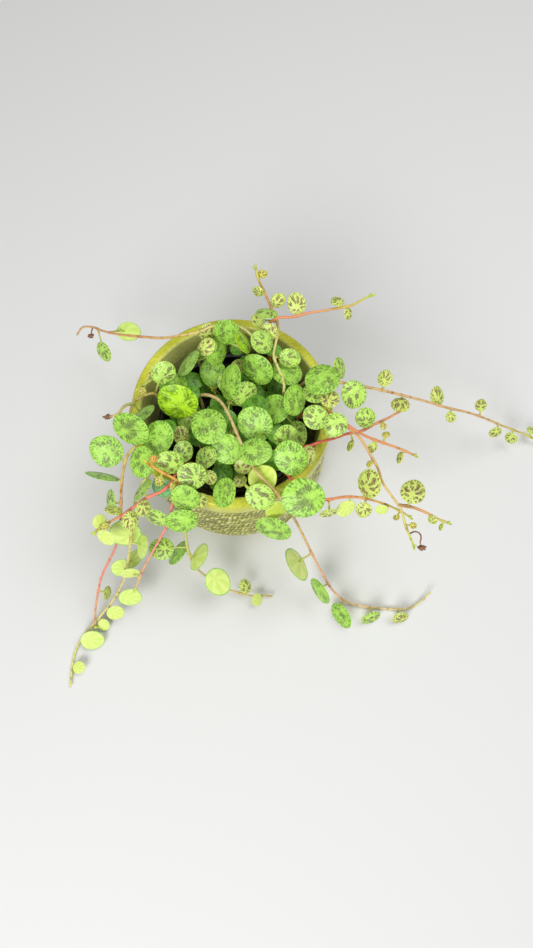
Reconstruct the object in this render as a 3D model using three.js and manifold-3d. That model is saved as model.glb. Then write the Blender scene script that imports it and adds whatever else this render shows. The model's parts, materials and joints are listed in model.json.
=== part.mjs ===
// A string-of-turtles peperomia (Peperomia prostrata) in a glazed stoneware cover pot.
//
// Units are millimetres and +Z is up. The origin is the centre of the cover pot's flat foot,
// and -Y is the side that faces the viewer. The cover pot holds a thin plastic grow pot with
// the potting soil, and every leafy stem stands in its own hole in that soil. Short stems fill
// the middle as a dense crown. Long ones run out over the rim, and the longest come down to
// the surface that the pot stands on and lie along it.
//
// The stem routes and the leaves that show from above are lists chosen by hand. The low leaves
// that fill the crown are placed by a rule. A leaf that would cross something is moved towards
// the viewer or away, flattened or made smaller until it is clear, and left out if nothing helps.

import * as THREE from "three";
import { mergeVertices } from "three/addons/utils/BufferGeometryUtils.js";
import Module from "manifold-3d";

const wasm = await Module();
wasm.setup();

// ---------------------------------------------------------------- driving dimensions

const RIM_RADIUS = 46; // the collar's outside, 92 mm across
const RIM_WIDTH = 5; // across the rim's flat top and its two roundings
const RIM_OUTSIDE = [1.8, 2.4]; // the outer rounding, across and down
const RIM_INSIDE = [1.2, 1.8]; // the inner rounding
const POT_HEIGHT = 67;
const WALL = 5.2; // stoneware, with its glaze
const COLLAR_HEIGHT = 11.5; // the smooth band round the top
const BODY_SETBACK = 1.2; // the textured body starts this far back from the collar
const BELLY = 0.4; // and swells to stand this far out beyond it
const BELLY_HEIGHT = 16;
const BELLY_CURVE = 1.6; // how late the body turns in on its way up to the collar
const FOOT_SETBACK = 3; // the flat foot, from the collar's outside
const FOOT_ROUNDING = [2.9, 3.4]; // across and up
const FLOOR_THICKNESS = 5;
const POT_SIDES = 36;

const GROW_RIM_RADIUS = 35.4;
const GROW_RIM_HEIGHT = 51.5;
const GROW_EDGE = [1.4, 2.2]; // the rolled edge, across and down
const GROW_FOOT_RADIUS = 25;
const GROW_WALL = 1.1;
const DRAIN_HOLE_RADIUS = 3;
const DRAIN_HOLE_SIDES = 10;
const DRAIN_HOLES = 4;
const DRAIN_CIRCLE_RADIUS = 15;
const GROW_SIDES = 32;

const SOIL_LEVEL = 48.5;
const SOIL_SHOULDER = [27, 1]; // beyond this radius the soil falls by this much to the pot
const SOIL_RISE = [14, 0.5]; // at this radius it stands this much higher
const FIT_GAP = 0.3; // between pieces that rest on each other
const GROUND_GAP = 0.35; // between the lowest leaves and the surface below the pot

const STEM_RADIUS = 0.75;
const PETIOLE_RADIUS = 0.45;
const ROOT_DEPTH = 9; // how deep each stem stands in the soil
const STEM_SIDES = 4;
const STEM_STEP = [6, 10]; // between two rings of the tube, on a short stem and on a long one
const LONG_STEM = 140;
const PETIOLE_SIDES = 3;
const BUD_RADIUS = 1.5 * STEM_RADIUS; // the closed bud at each tip
const BUD_SIDES = 5;
const BUD_BANDS = 3;

const LEAF_SIDES = 8;
const LEAF_LENGTH_RATIO = 1.08; // length over width
const LEAF_BELLY = 0.5; // how far the underside hangs below the blade's own plane
const LEAF_CROWN = 0.9; // how far the upper side rises above it
// Where the stalk joins the underside, as a share of the half length behind the middle. It
// is near the edge on a leaf that hangs below its stem with its upper face up.
const ATTACH_SHARE = 0.3;
const HANGING_ATTACH_SHARE = 0.9;
const CLEARANCE = 0.4; // kept between leaves, and between leaves and stems
const RIM_ROOM = [37.7, 45.3, 72]; // no leaf comes between these radii below this height

const FINISHES = {
  glaze: { color: 0xa9a945, roughness: 0.25 },
  plastic: { color: 0x2c2d2b, roughness: 0.5 },
  soil: { color: 0x2a211b, roughness: 1 },
  leaf: { color: 0x74b43c, roughness: 0.45 },
};

// ---------------------------------------------------------------- the plant's own layout

// Each stem has these entries.
// name      says where it grows
// route     points of its curve, from where it leaves the soil to its tip
// leaves    [x, y, z, width, lean direction, lean] each, the angles in degrees. The direction
//           counts from +X towards +Y, a lean of 0 faces up, and one past 90 shows the
//           underside. Both may be left out: the leaf then leans a little towards the viewer.
// branches  side shoots, each with a route that starts on the stem, and its leaves
// fill      [first, last] shares of the whole length, between which the rule adds low leaves
const STEMS = [
  {
    name: "back_left",
    route: [
      [12, 24, 48], [11.5, 25.5, 62], [11.5, 28, 73], [9, 31, 78.5], [4, 34, 80.5], [-2, 35, 81],
      [-9, 34, 81], [-14, 32, 80], [-21, 31, 79], [-30, 31, 76], [-41, 35, 69], [-56, 42, 58],
      [-66, 49, 48], [-72, 54, 42], [-80, 58, 34], [-84, 57, 28],
    ],
    leaves: [[-53, 49, 47, 11, 100, 120], [-67, 43, 37, 10, -130, 60]],
    fill: [0.05, 0.12],
  },
  {
    name: "back",
    route: [
      [21, 6, 48], [22, 4, 62], [23, 4, 72], [23.5, 8, 78.5], [21, 14, 80.5], [19, 20, 80.5],
      [20, 27, 80], [21, 34, 80], [20, 39, 80], [18, 44, 80], [16, 49, 80], [14, 54, 80],
      [12, 57, 83], [11, 60, 86],
    ],
    leaves: [
      [14, 59, 84, 4, -90, 35], [12, 51, 82, 5, -110, 60], [21, 46, 83, 6.5, -90, 35],
      [16, 38, 86, 9.5, 80, 35], [12, 36, 84, 6.5, -140, 40], [17, 30, 84, 7.5, -90, 45],
      [26, 20, 78, 9, -90, 40],
    ],
    fill: [0.06, 0.2],
  },
  {
    name: "back_right",
    route: [
      [17, 22.5, 48], [17.5, 24.5, 62], [16.5, 28, 74], [15.5, 31, 80], [17, 34, 84],
      [21, 36, 85.5], [27, 36, 86], [34, 38, 86], [40, 39, 86], [48, 40, 87], [54, 41, 88],
      [58, 43, 89], [61, 44, 90],
    ],
    leaves: [[29, 41, 89, 8.5, -95, 30], [47, 42, 89, 6, 90, 20], [52, 38, 86, 5, -30, 45]],
    fill: [0.05, 0.15],
  },
  {
    name: "right_long",
    route: [
      [27, 8, 48], [28.5, 8, 62], [31, 9, 72], [35, 9.5, 78], [41, 9, 80], [49, 7.5, 79.5],
      [60, 7, 76], [70, 7, 71], [80, 7, 65], [90, 7, 59], [100, 7, 52], [114, 8, 42],
      [126, 9, 31], [137, 9, 21], [148, 9, 12], [157, 8, 6], [165, 5, 3], [174, 2, 2],
    ],
    leaves: [
      [40, 7, 85, 15, 100, 14], [48, 14, 81, 9, -10, 50], [54, 2, 80, 11.5, -60, 25],
      [69, 12, 74, 7, -165, 20], [77, 3, 65, 8.5, 90, 20], [97, 12, 53, 8.5, -25, 30],
      [104, 3, 49, 5, -110, 35], [123, 14, 36, 6, 170, 15], [134, 5, 21, 6.5, -90, 60],
      [145, 5, 12, 6.5, -120, 60], [158, 11, 7, 5, 60, 25], [168, 1, 4.5, 4, -90, 20],
    ],
    fill: [0.03, 0.1],
  },
  {
    name: "right_mid",
    route: [
      [28, -3, 48], [30, -3, 62], [34, -4, 74], [39, -5, 79], [44, -8, 81], [50, -12, 80.5],
      [55, -15, 79], [61, -17, 76], [68, -18.5, 73], [74, -20, 71], [81, -22, 68],
    ],
    leaves: [
      [43, -2, 84, 8.5, 90, 15], [45, -14, 85, 10, -115, 25], [62, -21, 75.5, 5, -60, 45],
      [68, -15, 75, 3.5, 105, 25], [75, -23, 67, 5, 180, 65],
    ],
    fill: [0.06, 0.16],
  },
  {
    name: "right_fork",
    route: [
      [18, -18, 48], [19, -18, 62], [23, -19, 70], [28, -20, 74.5], [33, -21, 76.5],
      [39, -19, 77], [45, -17, 75.5], [51, -14, 73], [58, -12, 71.5], [64, -9, 72],
      [69, -7, 73.5], [75, -4, 75],
    ],
    leaves: [
      [59, -8, 77, 9, -85, 45], [53, -18, 69, 5, 170, 60], [34, -25, 77, 8, -20, 40],
      [67, -11, 75, 3],
    ],
    fill: [0.06, 0.3],
  },
  {
    name: "right_front",
    route: [
      [26, -10, 48], [28, -10.5, 62], [34, -9, 73], [41, -8.5, 77], [47, -10, 77.5],
      [52, -13, 77], [57, -18, 76.5], [61, -25, 75.5], [64, -30, 74], [66, -36, 72.5],
      [71, -43, 70.5], [74, -47, 69], [76, -53, 66], [80, -61, 61],
    ],
    leaves: [[37, -9, 80, 10.5, -95, 25], [79, -54, 68, 3], [60, -29, 77, 3, 180, 30]],
    branches: [
      {
        route: [[73, -45, 70], [80, -46, 67.5], [86, -48, 65.5], [91, -50, 63], [96, -51, 60]],
        leaves: [
          [79, -40, 72, 11, 90, 15], [88, -51, 66, 4, -125, 40], [93, -53, 60, 3, 175, 60],
        ],
      },
    ],
    fill: [0.05, 0.14],
  },
  {
    name: "front_right",
    route: [
      [16, -23, 48], [19, -27, 62], [21, -28.5, 71.5], [24.5, -33, 76], [29, -39, 77.7],
      [35, -43.5, 78.5], [41, -45, 78], [47, -43.5, 76], [52, -42.5, 73], [58, -42, 69],
      [64, -42.5, 65], [70, -43.5, 61], [75, -45, 58], [80, -47, 55],
    ],
    leaves: [
      [31, -46, 85, 16.5, -95, 22], [42, -50, 75, 8, -80, 80], [50, -47, 70, 8.5, 110, 125],
      [58, -47, 68, 7, -100, 40], [60, -37, 74, 12, -155, 50], [67, -45, 60, 5.5, 80, 125],
      [74, -48, 57, 3, -100, 45],
    ],
    fill: [0.05, 0.16],
  },
  {
    name: "front_arc",
    route: [
      [-14, 5, 48], [-14, 5, 62], [-14, 4, 73], [-10, 2, 79], [-5, -1, 81], [-1, -7, 81.5],
      [2, -14, 81.5], [5, -21, 81], [10, -31, 80], [14, -36, 79], [19, -41, 78], [23, -45, 75],
      [27, -49, 67], [33, -56, 50], [42, -67, 25], [50, -76, 10], [57, -80, 3.5], [65, -82, 1.7],
      [76, -83, 1.4], [88, -83, 1.6], [95, -79, 3], [99, -75, 5.5],
    ],
    leaves: [
      [11, -26, 85, 13, 90, 10], [20, -48, 73, 9, 105, 125], [19, -55, 66, 15.5, -110, 68],
      [30, -66, 38, 17, -155, 120], [42, -76, 16, 14, -145, 75], [53, -87, 8, 12.5, -145, 60],
      [68, -88, 6, 10, -70, 65], [83, -88, 5.5, 8.5, -75, 60],
    ],
    fill: [0.03, 0.07],
  },
  {
    name: "front_small",
    route: [
      [-11, -25, 48], [-12, -28, 62], [-13.5, -31.5, 72], [-16, -37, 76.5], [-18, -45, 76.5],
      [-19, -50, 71], [-20, -57, 57], [-20, -62, 43], [-19, -65, 35], [-16, -68, 25],
      [-12, -70, 17], [-4, -74, 8], [4, -76, 4.5], [10, -77, 3], [14, -76.5, 2.5], [19, -77, 2.5],
    ],
    leaves: [
      [-18, -45, 81, 12, -85, 50], [-20, -53, 73, 12.5, -80, 50], [-25, -62, 44, 12.5, 150, 55],
      [-15, -63, 43, 13, -20, 125], [-32, -61, 49, 10.5, -135, 15], [-8, -72, 21, 13, 165, 150],
      [5, -73, 10, 7, -10, 35], [11, -79, 6, 6, 165, 145], [-12, -45, 76, 6.5, -15, 40],
    ],
    fill: [0.04, 0.12],
  },
  {
    name: "front_pink",
    route: [
      [-16, -20, 48], [-17, -25, 61], [-18, -29, 70], [-20, -34, 75.5], [-21.5, -39.5, 77.2],
      [-24, -46, 76], [-26, -52, 69], [-30, -56, 60], [-35, -61, 50], [-40, -67, 42],
      [-43, -71, 36], [-46, -76, 30],
    ],
    leaves: [[-31, -51, 70, 10, -105, 60], [-48, -70, 36, 8.5, 100, 110]],
    fill: [0.05, 0.18],
  },
  {
    name: "left_front",
    route: [
      [-28, -4, 48], [-30, -7, 61], [-33, -12, 72.5], [-36.5, -16, 75.5], [-40.5, -20, 75.7],
      [-44.5, -24.5, 74.8], [-47, -30, 69.5], [-49, -35, 62], [-50, -40, 56], [-51, -45, 50],
      [-53, -53, 41], [-57, -60, 34], [-64, -70, 24], [-67, -78, 17], [-69, -86, 11],
      [-69.5, -92, 6.5],
    ],
    leaves: [
      [-54, -22, 73, 14, -90, 30], [-57, -31, 64, 14.5, 75, 65], [-55, -40, 55, 11, -170, 60],
      [-62, -77, 18, 7, -10, 75],
    ],
    fill: [0.05, 0.14],
  },
  {
    name: "front_left_long",
    route: [
      [-23.5, -15, 48], [-25.5, -19, 61], [-27, -22, 69], [-30, -26, 75], [-34, -33, 77],
      [-38, -38.5, 75], [-41, -43, 69], [-44, -48, 60], [-46, -56, 49], [-49, -63, 37],
      [-52, -70, 27], [-58, -78, 16], [-65, -85, 8.5], [-71, -91, 4.5], [-77, -98, 2.3],
      [-80, -105, 1.7], [-81, -113, 1.5], [-81, -121, 1.5],
    ],
    leaves: [
      [-49, -53, 47, 14, 110, 130], [-47, -63, 34, 9, -25, 150], [-54, -66.5, 28, 9.5, 115, 135],
      [-41, -59, 46, 11, 0, 125], [-51, -79, 17, 10.5, 110, 130], [-59, -86, 11, 8.5, 110, 130],
      [-66, -92, 6.5, 6, 115, 150], [-71, -99, 5, 10.5, 115, 145], [-77, -112, 3.8, 6, 10, 170],
    ],
    fill: [0.04, 0.1],
  },
  {
    name: "left_red",
    route: [
      [-19, -20, 48], [-20, -24, 61], [-21, -28, 70], [-23, -33, 76], [-25, -38.5, 78.7],
      [-29, -42, 79], [-34, -44, 78.5], [-40, -47, 75], [-47, -50, 69], [-54, -52, 63],
      [-60, -55, 59],
    ],
    leaves: [
      [-36, -41, 79, 11, 145, 55], [-36, -48, 75, 7.5, -40, 60], [-42, -53, 74, 7.5, -35, 35],
      [-50, -48, 71, 6.5, 65, 40], [-58, -51, 61, 6.5, 145, 140], [-55, -57, 58, 8, 70, 130],
      [-54, -54, 66, 3.5, -75, 40], [-29, -39, 75, 9.5, -125, 45],
    ],
    fill: [0.06, 0.18],
  },
  {
    name: "left_up",
    route: [
      [-27, 3, 48], [-29, 3, 60], [-32.5, 4, 70], [-34, 4, 76], [-37, 2, 79], [-42, -1, 78.5],
      [-44, -6, 77], [-45, -10, 75],
    ],
    leaves: [
      [-42, -15, 82, 16, -115, 55], [-38, -7, 79, 12.5, 135, 50], [-29, 11, 81, 10.5, -85, 50],
    ],
    branches: [{ route: [
      [-42, -1, 78.5], [-46, -3, 79], [-48, -6, 79], [-50, -7, 77.5], [-53, -7, 76],
    ], leaves: [] }],
    fill: [0.08, 0.4],
  },
  {
    name: "left_tip",
    route: [
      [-22, 16, 48], [-24, 17, 60], [-28, 17, 71], [-31, 13, 78.5], [-35, 8, 81], [-39, 4, 82],
    ],
    leaves: [[-34, 11, 82, 3.5, 90, 40], [-38, 2, 83, 3.5, -90, 40]],
    fill: [0.08, 0.5],
  },
  {
    name: "orange_shoot",
    route: [
      [-13, -14, 48], [-14, -19, 62], [-15, -28, 73], [-16, -35, 80], [-20, -38, 82.5],
      [-25, -36, 83.5], [-31, -33, 85], [-34, -31, 86],
    ],
    leaves: [
      [-31, -30, 87, 3.5, -75, 45], [-29, -38, 82, 4, -75, 35], [-23, -40, 81, 4, -15, 45],
    ],
    fill: [0.08, 0.4],
  },
  {
    name: "crown_left",
    route: [[-8, -7, 48], [-8, -9, 61], [-10, -8, 70], [-15, -4, 73], [-21, 2, 71], [-26, 6, 67]],
    leaves: [
      [-9, -13, 81, 15.5, 90, 8], [-23, -1, 78, 17, -90, 55], [-26, 9, 73, 13, 95, 15],
      [-20, -5, 67, 9, -80, 30],
    ],
    fill: [0.1, 1],
  },
  {
    name: "crown_right",
    route: [[14, -5, 48], [14, -7, 61], [15, -8, 70], [20, -6, 72], [26, -3, 75]],
    leaves: [
      [11, -12, 80, 15, -105, 35], [20, -3, 75, 12.5, -160, 25], [28, -1, 80, 12.5, -30, 45],
      [29, -13, 70, 11, -165, 35],
    ],
    fill: [0.1, 0.9],
  },
  {
    name: "crown_middle",
    route: [[-1, 4, 48], [-1, 3, 60], [-2, 3, 68], [-1, 1, 72]],
    leaves: [[0, 8, 79, 14.5, -165, 52], [6, 5, 73, 11, -45, 40], [10, -1, 70, 11, -150, 30]],
    fill: [0.1, 1],
  },
  {
    name: "crown_front_middle",
    route: [[1, -15, 48], [1, -18, 61], [1, -22, 70], [5, -27, 70]],
    leaves: [
      [-1, -23, 79, 13, -85, 25], [6, -29, 74, 8, -90, 45], [14, -26, 71, 7.5, -90, 30],
      [0, -12, 67, 8.5, -160, 35],
    ],
    fill: [0.1, 1],
  },
  {
    name: "crown_front_left",
    route: [[-7, -19, 48], [-8, -23, 61], [-10, -28, 70], [-12, -32, 74]],
    leaves: [
      [-15, -36, 83, 11.5, -80, 35], [-10, -26, 77, 9, -155, 15], [-9, -33, 70, 7, -85, 30],
    ],
    fill: [0.1, 1],
  },
  {
    name: "crown_left_low",
    route: [[-19, -13, 48], [-20, -16, 61], [-21, -21, 68], [-24, -25, 73]],
    leaves: [
      [-25, -29, 79, 11, -75, 45], [-20, -23, 75, 9, -25, 30], [-22, -13, 68, 7.5, -80, 30],
    ],
    fill: [0.1, 1],
  },
  {
    name: "crown_far_left",
    route: [[-22, -7, 48], [-24, -10, 61], [-28, -16, 71], [-34, -25, 76]],
    leaves: [[-31, -18, 79, 14, -125, 12], [-37, -29, 80, 12.5, -145, 28]],
    fill: [0.1, 0.8],
  },
  {
    name: "crown_front",
    route: [[6, -24, 48], [6, -28, 61], [5, -33, 71], [6, -37, 74.5], [9, -40, 75]],
    leaves: [
      [-2, -42, 78, 12.5, -165, 42], [13, -44, 79, 11.5, -90, 30], [14, -35, 74.5, 12, 65, 145],
      [4, -34, 68, 6.5, -85, 30],
    ],
    fill: [0.1, 0.7],
  },
  {
    name: "crown_far_right",
    route: [[21.5, -17.5, 48], [22.5, -20, 61], [24, -25, 70], [27, -27, 75]],
    leaves: [[26, -28, 82, 14, -95, 28], [24, -17, 78, 11, -75, 60]],
    fill: [0.1, 1],
  },
  {
    name: "crown_right_back",
    route: [[26, 4, 48], [27, 4, 60], [30, 4, 68], [33, 3, 71]],
    leaves: [[37, 4, 75.5, 10.5, 110, 10]],
    fill: [0.1, 1],
  },
  {
    name: "crown_back_right",
    route: [[15, 14, 48], [15, 15, 60], [17, 17, 66], [19, 18, 67.5]],
    leaves: [[25, 15, 73, 13, 105, 15], [12, 15, 76.5, 14.5, -115, 58]],
    fill: [0.1, 1],
  },
  {
    name: "crown_back",
    route: [[7, 19, 48], [7, 21, 60], [8, 25, 68], [4, 28, 72], [-1, 30, 73]],
    leaves: [
      [14, 26, 79.5, 10.5, -30, 40], [5.5, 27, 77, 11, 15, 58], [-2, 32, 78, 12.5, -95, 65],
      [3, 20, 68, 7.5, -85, 35],
    ],
    fill: [0.1, 0.8],
  },
  {
    name: "crown_back_left",
    route: [[-15, 22, 48], [-15, 23, 60], [-16, 24, 67], [-18, 22, 71]],
    leaves: [
      [-11, 25, 79, 8, -145, 28], [-7, 26, 72, 12, -25, 50], [-19, 18, 77, 13.5, 155, 50],
      [-11, 33, 78, 8, -85, 55],
    ],
    fill: [0.1, 1],
  },
  {
    name: "crown_deep",
    route: [[-6, 12, 48], [-7, 12, 57], [-9, 12, 61]],
    leaves: [[-9, 18, 67, 12.5, -85, 30], [-2, 13, 65, 10, 0, 30]],
    fill: [0.1, 1],
  },
];

const DEFAULT_LEAN_DIRECTION = -90;
const DEFAULT_LEAN = 15;

// The rule for the low leaves.
const FILL_SPACING = 9; // along the stem
const FILL_ATTEMPTS = 4;
const FILL_REACH = [3.5, 9]; // from the stem to the middle of the leaf
const FILL_RISE = 0.35; // upwards, as a share of the reach
const FILL_WIDTH = [8, 13];
const FILL_LEAN = [5, 40];
const FILL_TURN = 137.5; // degrees from one leaf to the next round the stem
const FILL_SEED = 20;

// What a leaf tries, in this order, to get clear of its neighbours. A lift moves it towards
// the viewer, or away if it is negative.
const TRY_SIZES = [1, 0.88];
const TRY_LEANS = [1, 0.75, 0.5];
const TRY_LIFTS = [0, 0.8, -0.8, 1.6, -1.6, 2.5, -2.5, 3.5, -3.5, 5, -5, 6.5];
const LIFT = new THREE.Vector3(0, -0.28, 0.96);

// ---------------------------------------------------------------- small helpers

const vec = (x, y, z) => new THREE.Vector3(x, y, z);

function seededRandom(seed) {
  const modulus = 2147483647;
  const factor = 16807;
  let state = seed;
  return () => {
    state = (state * factor) % modulus;
    return state / modulus;
  };
}

function between([low, high], share) {
  return low + (high - low) * share;
}

// A closed geometry as a solid that can be joined and cut.
function solidOf(geometry) {
  const flat = geometry.index ? geometry.toNonIndexed() : geometry;
  flat.deleteAttribute("normal");
  flat.deleteAttribute("uv");
  const merged = mergeVertices(flat, 1e-4);
  return new wasm.Manifold(
    new wasm.Mesh({
      numProp: 3,
      vertProperties: merged.attributes.position.array,
      triVerts: new Uint32Array(merged.index.array),
    }),
  );
}

function geometryOf(solid) {
  const mesh = solid.getMesh();
  const geometry = new THREE.BufferGeometry();
  geometry.setAttribute("position", new THREE.BufferAttribute(mesh.vertProperties, 3));
  geometry.setIndex(new THREE.BufferAttribute(mesh.triVerts, 1));
  geometry.computeVertexNormals();
  return geometry;
}

function named(name, geometry, finish) {
  const material = new THREE.MeshStandardMaterial({ ...finish, metalness: 0 });
  const mesh = new THREE.Mesh(geometry, material);
  mesh.name = name;
  return mesh;
}

// A profile of [radius, height] pairs, turned about +Z.
function turned(profile, sides) {
  const points = profile.map(([radius, height]) => new THREE.Vector2(radius, height));
  return new THREE.LatheGeometry(points, sides).rotateX(Math.PI / 2);
}

// An upright cylinder that cuts a hole.
function drill(radius, length, sides) {
  return new THREE.CylinderGeometry(radius, radius, length, sides).rotateX(Math.PI / 2);
}

// Points on an elliptical round from one angle to another, both in degrees.
function arc([radius, height], [across, up], from, to, steps) {
  return Array.from({ length: steps + 1 }, (_, i) => {
    const angle = THREE.MathUtils.degToRad(from + ((to - from) * i) / steps);
    return [radius + across * Math.cos(angle), height + up * Math.sin(angle)];
  });
}

// ---------------------------------------------------------------- the cover pot

const FOOT_RADIUS = RIM_RADIUS - FOOT_SETBACK;
const BODY_RADIUS = RIM_RADIUS - BODY_SETBACK;
const BELLY_RADIUS = RIM_RADIUS + BELLY;

// Points up the body's side, from its belly to a step under the collar.
function bodySide(steps) {
  const top = POT_HEIGHT - COLLAR_HEIGHT - 1;
  return Array.from({ length: steps + 1 }, (_, i) => {
    const share = i / steps;
    const radius = between([BELLY_RADIUS, BODY_RADIUS], share ** BELLY_CURVE);
    return [radius, between([BELLY_HEIGHT, top], share)];
  });
}

function coverPot() {
  const collarFoot = POT_HEIGHT - COLLAR_HEIGHT;
  const outsideMiddle = [RIM_RADIUS - RIM_OUTSIDE[0], POT_HEIGHT - RIM_OUTSIDE[1]];
  const insideMiddle = [RIM_RADIUS - RIM_WIDTH + RIM_INSIDE[0], POT_HEIGHT - RIM_INSIDE[1]];
  const [cornerAcross, cornerUp] = [3.9, 5]; // of the corner between wall and floor inside
  const innerFoot = BELLY_RADIUS - WALL - 0.6;
  const innerSide = bodySide(2).map(([radius, height]) => [radius - WALL, height]);
  const profile = [
    [0, 0],
    ...arc([FOOT_RADIUS, FOOT_ROUNDING[1]], FOOT_ROUNDING, -90, 0, 4),
    ...bodySide(3),
    [RIM_RADIUS, collarFoot],
    ...arc(outsideMiddle, RIM_OUTSIDE, 0, 90, 3),
    ...arc(insideMiddle, RIM_INSIDE, 90, 180, 3),
    ...innerSide.reverse(),
    [innerFoot, FLOOR_THICKNESS + cornerUp],
    [innerFoot - cornerAcross, FLOOR_THICKNESS],
    [0, FLOOR_THICKNESS],
  ];
  return named("cover_pot", turned(profile, POT_SIDES), FINISHES.glaze);
}

// ---------------------------------------------------------------- the grow pot and its soil

const GROW_FOOT = FLOOR_THICKNESS + FIT_GAP;
const GROW_TOP_RADIUS = GROW_RIM_RADIUS - GROW_EDGE[0]; // under the rolled edge
const GROW_INNER_RADIUS = GROW_TOP_RADIUS - GROW_WALL;

function growPot() {
  const rolledEdge = GROW_RIM_HEIGHT - GROW_EDGE[1];
  const profile = [
    [0, GROW_FOOT],
    [GROW_FOOT_RADIUS, GROW_FOOT],
    [GROW_TOP_RADIUS, rolledEdge],
    [GROW_RIM_RADIUS, rolledEdge],
    [GROW_RIM_RADIUS, GROW_RIM_HEIGHT],
    [GROW_INNER_RADIUS, GROW_RIM_HEIGHT],
    [GROW_FOOT_RADIUS - GROW_WALL, GROW_FOOT + GROW_WALL],
    [0, GROW_FOOT + GROW_WALL],
  ];
  let pot = solidOf(turned(profile, GROW_SIDES));
  for (let i = 0; i < DRAIN_HOLES; i++) {
    const angle = (2 * Math.PI * i) / DRAIN_HOLES;
    const [x, y] = [DRAIN_CIRCLE_RADIUS * Math.cos(angle), DRAIN_CIRCLE_RADIUS * Math.sin(angle)];
    const cutter = drill(DRAIN_HOLE_RADIUS, 4 * GROW_WALL, DRAIN_HOLE_SIDES);
    cutter.translate(x, y, GROW_FOOT + GROW_WALL / 2);
    pot = pot.subtract(solidOf(cutter));
  }
  return named("grow_pot", geometryOf(pot), FINISHES.plastic);
}

function soilRadiusAt(height) {
  const share = (height - GROW_FOOT - GROW_WALL) / (GROW_RIM_HEIGHT - GROW_FOOT - GROW_WALL);
  return between([GROW_FOOT_RADIUS - GROW_WALL, GROW_INNER_RADIUS], share) - FIT_GAP;
}

// A solid ground with a plain hole for each stem.
function soil() {
  const bottom = GROW_FOOT + GROW_WALL + FIT_GAP;
  const edge = SOIL_LEVEL - SOIL_SHOULDER[1];
  const profile = [
    [0, bottom],
    [soilRadiusAt(bottom), bottom],
    [soilRadiusAt(edge), edge],
    [SOIL_SHOULDER[0], SOIL_LEVEL],
    [SOIL_RISE[0], SOIL_LEVEL + SOIL_RISE[1]],
    [0, SOIL_LEVEL],
  ];
  let ground = solidOf(turned(profile, GROW_SIDES));
  const length = ROOT_DEPTH + 4;
  for (const { route } of STEMS) {
    const [x, y] = route[0];
    const cutter = drill(STEM_RADIUS + FIT_GAP, length, STEM_SIDES);
    cutter.translate(x, y, SOIL_LEVEL - ROOT_DEPTH - FIT_GAP + length / 2);
    ground = ground.subtract(solidOf(cutter));
  }
  return named("soil", geometryOf(ground), FINISHES.soil);
}

// ---------------------------------------------------------------- where stems and leaves go

// The stem's curve. It starts straight down in the soil, under the route's first point.
function stemCurve(route) {
  const [x, y] = route[0];
  const buried = [[x, y, SOIL_LEVEL - ROOT_DEPTH], [x, y, SOIL_LEVEL - ROOT_DEPTH / 2]];
  const points = [...buried, ...route.map(([px, py, pz], i) => [px, py, i ? pz : SOIL_LEVEL + 1])];
  return new THREE.CatmullRomCurve3(points.map((p) => vec(...p)), false, "centripetal");
}

// Points less than a millimetre apart along the straight lines from ring to ring.
function walk(rings) {
  const points = [rings[0]];
  rings.slice(1).forEach((end, i) => {
    const start = rings[i];
    const count = Math.ceil(start.distanceTo(end));
    for (let k = 1; k <= count; k++) points.push(start.clone().lerp(end, k / count));
  });
  return points;
}

// The blade's tip points away from the stem. Where too little of that way lies in the blade's
// plane, the tip points square to the spare axis instead.
const LEAST_IN_PLANE = 0.3;
const SPARE_AXIS = vec(0.3, 1, 0);

// A leaf blade: its middle, its axes (across, along to the tip, and the upper face's normal),
// and the half sizes across and along.
function bladeAt(middle, width, direction, lean, towardsTip) {
  const turn = THREE.MathUtils.degToRad(direction);
  const tilt = THREE.MathUtils.degToRad(lean);
  const normal = vec(
    Math.sin(tilt) * Math.cos(turn),
    Math.sin(tilt) * Math.sin(turn),
    Math.cos(tilt),
  );
  const along = towardsTip.clone().addScaledVector(normal, -towardsTip.dot(normal));
  if (along.length() < LEAST_IN_PLANE * towardsTip.length()) along.crossVectors(normal, SPARE_AXIS);
  along.normalize();
  const across = new THREE.Vector3().crossVectors(along, normal);
  return {
    middle,
    across,
    along,
    normal,
    halfWidth: width / 2,
    halfLength: (width / 2) * LEAF_LENGTH_RATIO,
  };
}

// A point in the blade's own axes, with the outline scaled to a unit circle.
function inBlade(blade, point, margin) {
  const offset = point.clone().sub(blade.middle);
  return vec(
    offset.dot(blade.across) / (blade.halfWidth + margin),
    offset.dot(blade.along) / (blade.halfLength + margin),
    offset.dot(blade.normal),
  );
}

const RIM_SAMPLES = 16;
const INNER_RING = 0.55;
const INNER_THICKNESS = LEAF_BELLY * (1 - INNER_RING * INNER_RING);

// Points of the blade's own plane: the middle, then the rim, then a ring between them.
function bladePoints(blade) {
  const points = [blade.middle.clone()];
  for (const share of [1, INNER_RING]) {
    for (let i = 0; i < RIM_SAMPLES; i++) {
      const angle = (2 * Math.PI * i) / RIM_SAMPLES;
      points.push(
        blade.middle
          .clone()
          .addScaledVector(blade.across, share * blade.halfWidth * Math.cos(angle))
          .addScaledVector(blade.along, share * blade.halfLength * Math.sin(angle)),
      );
    }
  }
  return points;
}

// True where a point with some thickness of its own comes too near a blade, which thins out
// towards its rim.
function nearBlade(blade, point, thickness) {
  const margin = thickness + CLEARANCE;
  const local = inBlade(blade, point, margin);
  const fullness = 1 - local.x * local.x - local.y * local.y;
  if (fullness < 0) return false;
  return local.z < LEAF_CROWN * fullness + margin && local.z > -LEAF_BELLY * fullness - margin;
}

// True where the line between two points on opposite sides of a blade's plane goes through it.
function pierces(blade, cuts) {
  if (cuts.length < 2) return false;
  const [from, to] = cuts;
  const step = to.clone().sub(from);
  const share = THREE.MathUtils.clamp(-from.dot(step) / Math.max(step.lengthSq(), 1e-9), 0, 1);
  return from.clone().addScaledVector(step, share).length() < 1;
}

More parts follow.
